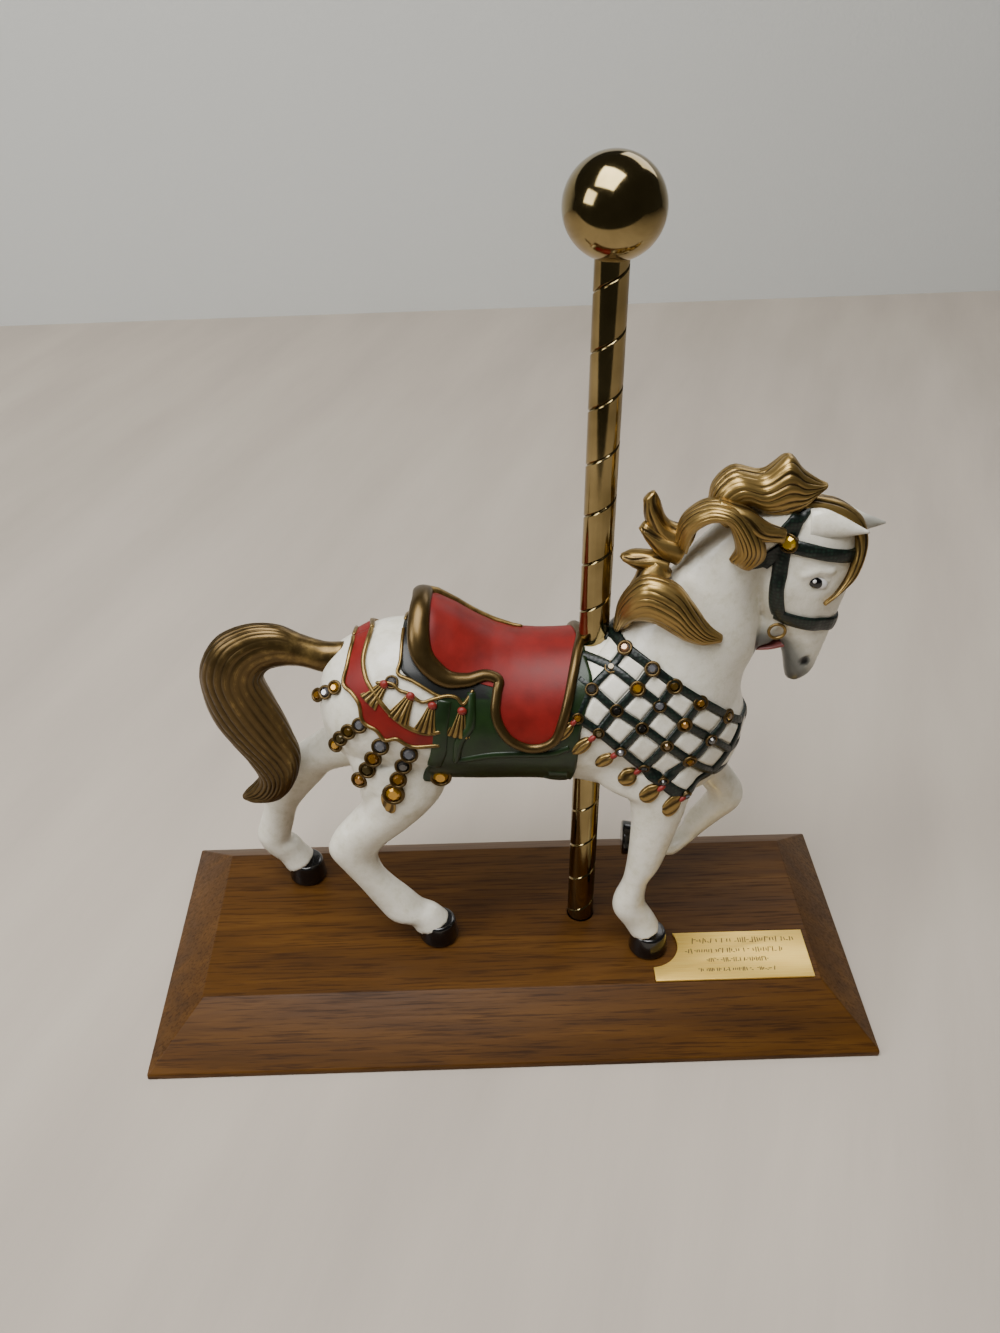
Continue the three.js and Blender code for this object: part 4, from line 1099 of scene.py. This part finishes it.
# the far side's border shows over the ridge of the seat as a thin gold line
def on_seat(p):
    at, out, normal = trunk(p)
    return at + out * seat_rise(at.x, math.degrees(math.atan2(-at.y, at.z - CORE_Z))), out, normal


ridge = [around(x, angle)[0] for x, angle in [(-27, -12), (-22, -15), (-16, -18), (-9, -20), (-2, -20),
                                              (4, -19)]]
crupper.append(full_relief(cord(ridge, [2, 1.8, 1.5, 1.2, 0.9, 0.5], 12, 60, on_seat, lift=0.3)))
crupper = join("crupper", crupper)
hand_over(crupper, ["horse"], ON_POLE)

# Chest lattice and bridle: cast straps painted near-black green, with small
# studs along them, over raised white panels.
LATTICE = [
  [[31.5, -1.1, 145.2], [35.9, -9.8, 144.9], [44, -15.6, 141.5], [51, -17.9, 137.2],
    [59.4, -17.4, 130.9], [68.7, -12.5, 122], [74, -7.8, 117]],
  [[25.8, -9, 140.9], [31.8, -12.4, 139.4], [39.9, -16.8, 135.1], [46.9, -19.1, 130.5],
    [54.9, -19.4, 123.8], [63.9, -16.5, 115.9], [71, -12, 108.3]],
  [[25.9, -16.3, 134], [33.7, -19.9, 128.7], [41.7, -20.8, 123.3], [49.9, -20.7, 116.5],
    [57.8, -18.9, 109], [66.1, -13.7, 100.7]],
  [[21.8, -20.6, 126], [28.4, -21.7, 121.6], [35.5, -22.1, 115.1], [43.4, -21.2, 107],
    [49.8, -21.2, 101.8], [57.6, -19.1, 95.2]],
]
CROSS_SHIFT = [1, 1, 0, 0]
CHEST_FRONT = [(77, 0, 116.3), (76.3, 0, 107.4), (73.4, 0, 98.6)]
CHEST_EDGE = [[74.3, -7.6, 117.5], [73.1, -9.5, 113], [71.2, -11.6, 108.3], [66.3, -13.8, 100.7],
  [62.4, -16, 97], [57.6, -19.1, 95.2]]
NOSEBAND = [(81.4, -5.9, 156.4), (84.6, -6.8, 155.3), (90, -7.4, 153.9), (96.2, -5.5, 152.5),
            (99.5, -2.4, 151.5), (100.6, 0.6, 151)]
CHEEKPIECE = [(80.3, -7.1, 178.6), (80.2, -7.7, 171.7), (80.5, -7.7, 165.2), (81.9, -6.8, 156)]
THROAT_STRAP = [(79.9, -6.5, 179.3), (77.7, -5.9, 176.8), (75.1, -6.9, 174.2), (73.6, -7.4, 172.9)]
BROWBAND = [(81.5, -7.5, 180.8), (87.1, -8.7, 180), (91.6, -8.8, 178.9), (96.3, -7.7, 177.7),
            (99.6, -5.8, 176.8), (103, 0.6, 176.2)]
CROWNPIECE = [(81, -6.8, 180.4), (82.1, -7.4, 186.1), (84.3, -5.3, 188.6), (86.8, -2.5, 191.3),
              (88, 0.6, 192.4)]
STRAP_WIDTH = 2.5
STRAP_THICK = 1

# Near-black green enamel: wet-looking, its stamped studs 1.2 mm apart
strap_paint, tree, shader, place = new_material("black_green_enamel",
                                                {"Roughness": 0.38, "Specular IOR Level": 0.35,
                                                 "Coat Weight": 0.1, "Coat Roughness": 0.15})
studs = add_node(tree, "TexVoronoi", {"Scale": 800, "Randomness": 0.35}, {"Vector": place})
tint(tree, shader, studs.outputs["Distance"], [(0.1, "#1a2c22"), (0.5, "#0b1410")])
bump(tree, shader, studs.outputs["Distance"], 0.5, 0.00025)

straps = []
for hand in (1, -1):
    rows = [[(x, hand * y, z) for x, y, z in row] for row in LATTICE]
    edge = [(x, hand * y, z) for x, y, z in CHEST_EDGE]
    # the straps start one short step further back, under the saddle's border
    lines = [[1.5 * np.array(row[0]) - 0.5 * np.array(row[1])] + row for row in rows] + [edge]
    for k in range(5):
        lines.append([row[k + CROSS_SHIFT[j]] for j, row in enumerate(rows) if k + CROSS_SHIFT[j] < len(row)])
    straps += [band(line, [STRAP_WIDTH] * len(line), STRAP_THICK - 0.3, 4, 40, crown=0.3) for line in lines]
    for strap, width, on in ((NOSEBAND, 4.6, skull), (CHEEKPIECE, 4, skull), (THROAT_STRAP, 4, throat),
                             (BROWBAND, 4, skull),
                             (CROWNPIECE, 3.4, poll)):
        line = [(x, hand * y, z) for x, y, z in strap]
        widths = [width] * len(line)
        if strap is THROAT_STRAP and hand < 0:
            # no lock covers its end on the far side: it narrows into the crease of the jaw
            line, widths = line[:3], [4, 3, 1.6]
        straps.append(band(line, widths, 0.8, 6, 40, on, crown=0.3))
# three straps go on round the front of the chest, and one runs down its middle
fronts = [[row[-1], middle, np.array(row[-1]) * (1, -1, 1)] for row, middle in zip(LATTICE, CHEST_FRONT)]
straps += [band(line, [STRAP_WIDTH] * 3, STRAP_THICK - 0.3, 4, 24, crown=0.3)
           for line in fronts + [CHEST_FRONT]]
for strap in straps:
    strap.data.materials.append(strap_paint)

cells = []
for hand in (1, -1):
    for j in range(3):
        for k in range(-1, 6):
            a, b = k + CROSS_SHIFT[j], k + CROSS_SHIFT[j + 1]
            if min(a, b) >= 0 and a + 1 < len(LATTICE[j]) and b + 1 < len(LATTICE[j + 1]):
                diamond = (LATTICE[j][a], LATTICE[j][a + 1], LATTICE[j + 1][b + 1], LATTICE[j + 1][b])
                cells.append([(x, hand * y, z) for x, y, z in diamond])
    for above, below in zip(fronts[:-1], fronts[1:]):
        cells.append([above[1], above[1 - hand], below[1 - hand], below[1]])
panels = []
for cell in cells:
    corners = np.array(cell, float)

    def on_panel(u, v, top):
        s, t = 0.16 + 0.68 * u, 0.16 + 0.68 * v
        p = (corners[0] * (1 - s) + corners[1] * s) * (1 - t) + (corners[3] * (1 - s) + corners[2] * s) * t
        at, out, _ = trunk(p)
        edge = min(u, 1 - u, v, 1 - v)
        return at + out * ((0.25 + 0.45 * min(1, edge / 0.14)) if top else -SINK)
    panel = slab(14, 14, on_panel)
    panel.data.materials.append(white)
    panels.append(panel)
harness = join("lattice_and_bridle", straps + panels)
hand_over(harness, ["horse"], ON_POLE)

# Tassels, garland cord and bit rings: cast relief in antique gold, each tassel
# a ribbed fringe under a red knot.
CHEST_TASSELS = [
  [[20.3, -21.2, 124.5], [14.6, -22.5, 118.6]],
  [[26.1, -22.2, 119.3], [20.4, -22.4, 113.6]],
  [[33.3, -22.1, 113], [28, -21.5, 108.4]],
  [[41.2, -21.2, 105.6], [35.3, -21.6, 102.2]],
  [[49, -21.7, 100], [42.4, -22.2, 96.2]],
  [[56.4, -20.1, 94.5], [50.1, -22.3, 91.2]],
]
GARLAND_TASSELS = [
  [[-38.5, -17.7, 134.3], [-43.4, -19.1, 128.5]],
  [[-30.1, -19.7, 131.6], [-34.4, -22, 124.4]],
  [[-23.2, -20.9, 129.1], [-25.3, -23.1, 120.9]],
  [[-14, -21.2, 127.6], [-15.4, -23.3, 119.7]],
]
HAUNCH_TASSEL = [[-38, -22, 93.4], [-40.2, -22.3, 87.2]]
GARLAND = [(-41.1, -16.8, 134.6), (-35.9, -17.4, 134.9), (-33.3, -18.7, 133.4), (-30.1, -19.3, 132.6),
           (-26.5, -20.3, 130.5),
           (-23.2, -20, 131.3), (-18.8, -19.3, 132.2), (-15.7, -19.3, 131.7), (-13.4, -20, 130),
           (-10.4, -17.3, 133.5)]
REAR_PIPING = [(-33.3, 4), (-33.3, 29), (-33.9, 39), (-29.2, 44), (-22.9, 52), (-19.8, 55)]
BIT_RING = (81.9, -6.9, 150.4)


worn_red = new_material("worn_red_acrylic", {"Base Color": linear("#7d2018"), "Roughness": 0.45})[0]


def tassel(top, end, width, leaf):
    """ribbed fringe, or rounded leaf, lying on the body under its knot"""
    a, out_a, _ = trunk(top)
    b, out_b, _ = trunk(end)
    side = (b - a).cross(out_a).normalized()
    deselect()
    bpy.ops.mesh.primitive_uv_sphere_add(segments=96, ring_count=24)
    made = bpy.context.object
    relief = []
    for v in made.data.vertices:
        t = math.acos(max(-1, min(1, v.co.z))) / math.pi
        angle = math.atan2(v.co.y, v.co.x)
        if leaf:
            spread = math.sin(math.pi * min(1, 0.08 + 0.9 * t)) ** 0.7
        else:
            spread = 0.35 + 0.65 * t ** 1.2
        if t < 0.01 or t > 0.99:
            spread = 0.0
        rib = abs(math.sin((3 if leaf else 6) * angle))
        relief.append(0.5 + 0.4 * rib if leaf else 0.15 + 0.85 * rib)
        spread *= 0.84 + 0.16 * rib
        at, out, _ = trunk(a.lerp(b, min(t, 0.96)) + side * (math.cos(angle) * spread * width / 2))
        v.co = at + out * (0.4 + math.sin(angle) * min(spread, 0.75) * (1.6 + 0.5 * rib))
    mark(made, "relief", relief)
    face_out()
    made.data.materials.append(gold)
    made.data.shade_smooth()
    turn = Matrix((side, (b - a).normalized(), out_a)).transposed().to_4x4()
    deselect()
    bpy.ops.mesh.primitive_uv_sphere_add(segments=20, ring_count=12,
                                         scale=(0.95, 1.6, 1) if leaf else (1.5, 1.4, 1.2))
    knot = bpy.context.object
    bpy.ops.object.transform_apply(location=True, rotation=True, scale=True)
    knot.data.transform(Matrix.Translation(a + out_a * 0.9 + (a - b).normalized() * 0.5) @ turn)
    knot.data.materials.append(worn_red)
    knot.data.shade_smooth()
    return [made, knot]


trim = []
for tassels, width, leaf in ((CHEST_TASSELS, 4.6, True), (GARLAND_TASSELS, 8.6, False),
                             ([HAUNCH_TASSEL], 5.6, True)):
    for a, b in tassels:
        trim += tassel(a, b, width, leaf)
trim.append(full_relief(cord(GARLAND, 0.6, 8, 90, lift=1.0)))
for hand in (1, -1):
    trim.append(full_relief(cord([around(x, hand * angle)[0] for x, angle in REAR_PIPING], 0.6, 8, 60,
                                 lift=0.9)))
    deselect()
    bpy.ops.mesh.primitive_torus_add(major_segments=40, minor_segments=12, major_radius=2.5, minor_radius=0.5,
                                     location=(BIT_RING[0], hand * BIT_RING[1], BIT_RING[2]),
                                     rotation=(math.radians(90), 0, 0))
    ring = bpy.context.object
    bpy.ops.object.transform_apply(location=True, rotation=True, scale=True)
    ring.data.shade_smooth()
    trim.append(full_relief(ring))

# Stones: faceted glass with foil behind, each glued in a cast gold cup. They
# range from honey to smoky grey: colour of the foil and the material slot.
TO_HORSE = ON_POLE.inverted()
GLASSES = {"honey": ("#b98718", "amber_glass"), "amber": ("#94661a", "amber_glass"),
           "brown": ("#5f4616", "amber_glass"),
           "peach": ("#a67f62", "amber_glass"), "olive": ("#5a4c2c", "amber_glass"),
           "grey": ("#85858a", "clear_glass"),
           "smoke": ("#4c4a48", "clear_glass"), "dark": ("#201d1a", "clear_glass"),
           "yellow": ("#c8a00e", "gold_glass")}
for name, (code, slot) in GLASSES.items():
    GLASSES[name] = (new_material(f"{name}_foiled_glass",
                                  {"Base Color": linear(code), "Metallic": 0.6, "Roughness": 0.1,
                                   "Coat Weight": 1})[0], slot)
# Name, radius of the glass and of its cup, and the glass of each stone
STONES = [
    ("lattice_jewel_a", 1.55, 2.5, "peach grey brown amber brown honey amber amber"),
    ("lattice_jewel_b", 1.5, 2.15, "olive grey smoke smoke dark dark brown"),
    ("lattice_jewel_c", 1.25, 1.85, "amber olive grey smoke dark grey"),
    ("string_jewel_a", 1.5, 2.4, "honey grey amber"),
    ("string_jewel_b", 1.7, 2.6, "grey brown olive honey"),
    ("string_jewel_c", 2, 2.9, "grey amber olive amber"),
    ("string_jewel_d", 2, 2.9, "grey smoke amber"),
    ("haunch_jewel", 2.7, 3.8, "honey"),
    ("blanket_jewel", 2.7, 3.7, "honey"),
    ("garland_jewel", 1.5, 2.2, "grey"),
    ("cheek_jewel", 2.5, 3.1, "yellow"),
]
TILTED = ("string", "haunch", "blanket")
for name, radius, rim, looks in STONES:
    for k, look in enumerate(looks.split(), 1):
        glass, slot = GLASSES[look]
        node = f"{name}_{k}"
        low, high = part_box(node)
        middle = TO_HORSE @ ((Vector(low) + Vector(high)) / 2)
        at, out, normal = skull(middle) if name == "cheek_jewel" else trunk(middle)
        way = (out + normal).normalized()
        if name.startswith(TILTED):
            way = (way + Vector((0, -0.85, 0.75))).normalized()
            middle += out * 0.8
        turn = way.to_track_quat("Z", "Y").to_matrix().to_4x4()
        deselect()
        bpy.ops.mesh.primitive_cone_add(vertices=10, radius1=radius, radius2=0.58 * radius, depth=1.1)
        stone = bpy.context.object
        stone.name = f"stone_{node}"
        stone.data.transform(Matrix.Translation(middle) @ turn)
        stone.data.materials.append(glass)
        hand_over(stone, [node], ON_POLE)
        deselect()
        bpy.ops.mesh.primitive_torus_add(major_segments=28, minor_segments=10,
                                         major_radius=(rim + radius) / 2,
                                         minor_radius=(rim - radius) / 2 + 0.05)
        cup = bpy.context.object
        cup.data.transform(Matrix.Translation(middle - way * 0.4) @ turn)
        cup.data.shade_smooth()
        trim.append(full_relief(cup, 0.54))
        deselect()
        bpy.ops.mesh.primitive_cylinder_add(vertices=28, radius=0.85 * rim, depth=1.6)
        bed = bpy.context.object
        bed.data.transform(Matrix.Translation(middle - way * 1.45) @ turn)
        trim.append(full_relief(bed, 0.3))
trim = join("tassels_and_cups", trim)
hand_over(trim, ["horse"], ON_POLE)

# Camera where the photograph was taken from, looking down on the horse
CAMERA_AT = (-0.01273, -0.30732, 0.34853)
PITCH, ROLL, YAW = -35.181, 0.339, -1.79
FOCAL_LENGTH_PIXELS = 1173.7
PHOTO_HEIGHT = 1333
SENSOR_WIDTH = 36
bpy.ops.object.camera_add(location=CAMERA_AT)
camera = bpy.context.object
camera.data.sensor_width = SENSOR_WIDTH
camera.data.sensor_fit = "AUTO"
camera.data.lens = FOCAL_LENGTH_PIXELS / PHOTO_HEIGHT * SENSOR_WIDTH
camera.data.clip_start = 0.01
turned = Matrix.Rotation(math.radians(YAW), 3, "Z")
for degrees, axis in ((PITCH, "X"), (ROLL, "Y")):
    turned = turned @ Matrix.Rotation(math.radians(degrees), 3, axis)
axes = Matrix((turned.col[0], turned.col[2], -turned.col[1])).transposed()
camera.matrix_world = Matrix.Translation(CAMERA_AT) @ axes.to_4x4()
bpy.context.scene.camera = camera

# Floor cloth and wall: pale pinkish grey cotton, and a pale grey wall behind
cloth, tree, shader, place = new_material("pale_cloth", {"Roughness": 0.9})
creased = add_node(tree, "Mapping", {"Scale": (22, 4, 1)}, {"Vector": place})
weave = add_node(tree, "TexNoise", {"Scale": 1, "Detail": 6}, {"Vector": creased.outputs[0]})
tint(tree, shader, weave.outputs[0], [(0.3, "#b1a699"), (0.7, "#beb3a5")])
bump(tree, shader, weave.outputs[0], 0.35, 0.006)
wall_paint, tree, shader, place = new_material("pale_wall",
                                               {"Base Color": linear("#d0d1cd"), "Roughness": 0.7})
pebbles = add_node(tree, "TexNoise", {"Scale": 260, "Detail": 4}, {"Vector": place})
bump(tree, shader, pebbles.outputs[0], 0.35, 0.0006)
# the cloth ends in front of the object; beyond it is a dark room, seen in the brass
FLOOR_FRONT = 0.42
deselect()
bpy.ops.mesh.primitive_plane_add(size=4, location=(0.65, 1.89 - FLOOR_FRONT, 0),
                                 rotation=(0, 0, math.radians(-19)))
floor = bpy.context.object
floor.name = "floor_cloth"
floor.data.materials.append(cloth)
deselect()
bpy.ops.mesh.primitive_plane_add(size=4, location=(0, 0.75, -1.35),
                                 rotation=(math.radians(90), 0, math.radians(3.4)))
wall = bpy.context.object
wall.name = "back_wall"
wall.data.materials.append(wall_paint)

# Soft studio light: a large lamp above, and weaker ones from the left and behind
for name, location, size, energy in (("overhead", (-0.25, -0.3, 1.3), 0.9, 25),
                                     ("left", (-1.2, -0.5, 0.8), 0.6, 9),
                                     ("behind", (0.7, 1, 0.9), 0.8, 6)):
    light = bpy.data.lights.new(name, "AREA")
    light.size = size
    light.energy = energy
    lamp = bpy.data.objects.new(name, light)
    bpy.context.collection.objects.link(lamp)
    lamp.location = location
    lamp.rotation_euler = (Vector((0, 0, 0.1)) - Vector(location)).to_track_quat("-Z", "Y").to_euler()
world = bpy.data.worlds.new("studio")
bpy.context.scene.world = world
world.use_nodes = True
world.node_tree.nodes["Background"].inputs["Color"].default_value = linear("#a9a79c")
world.node_tree.nodes["Background"].inputs["Strength"].default_value = 0.14
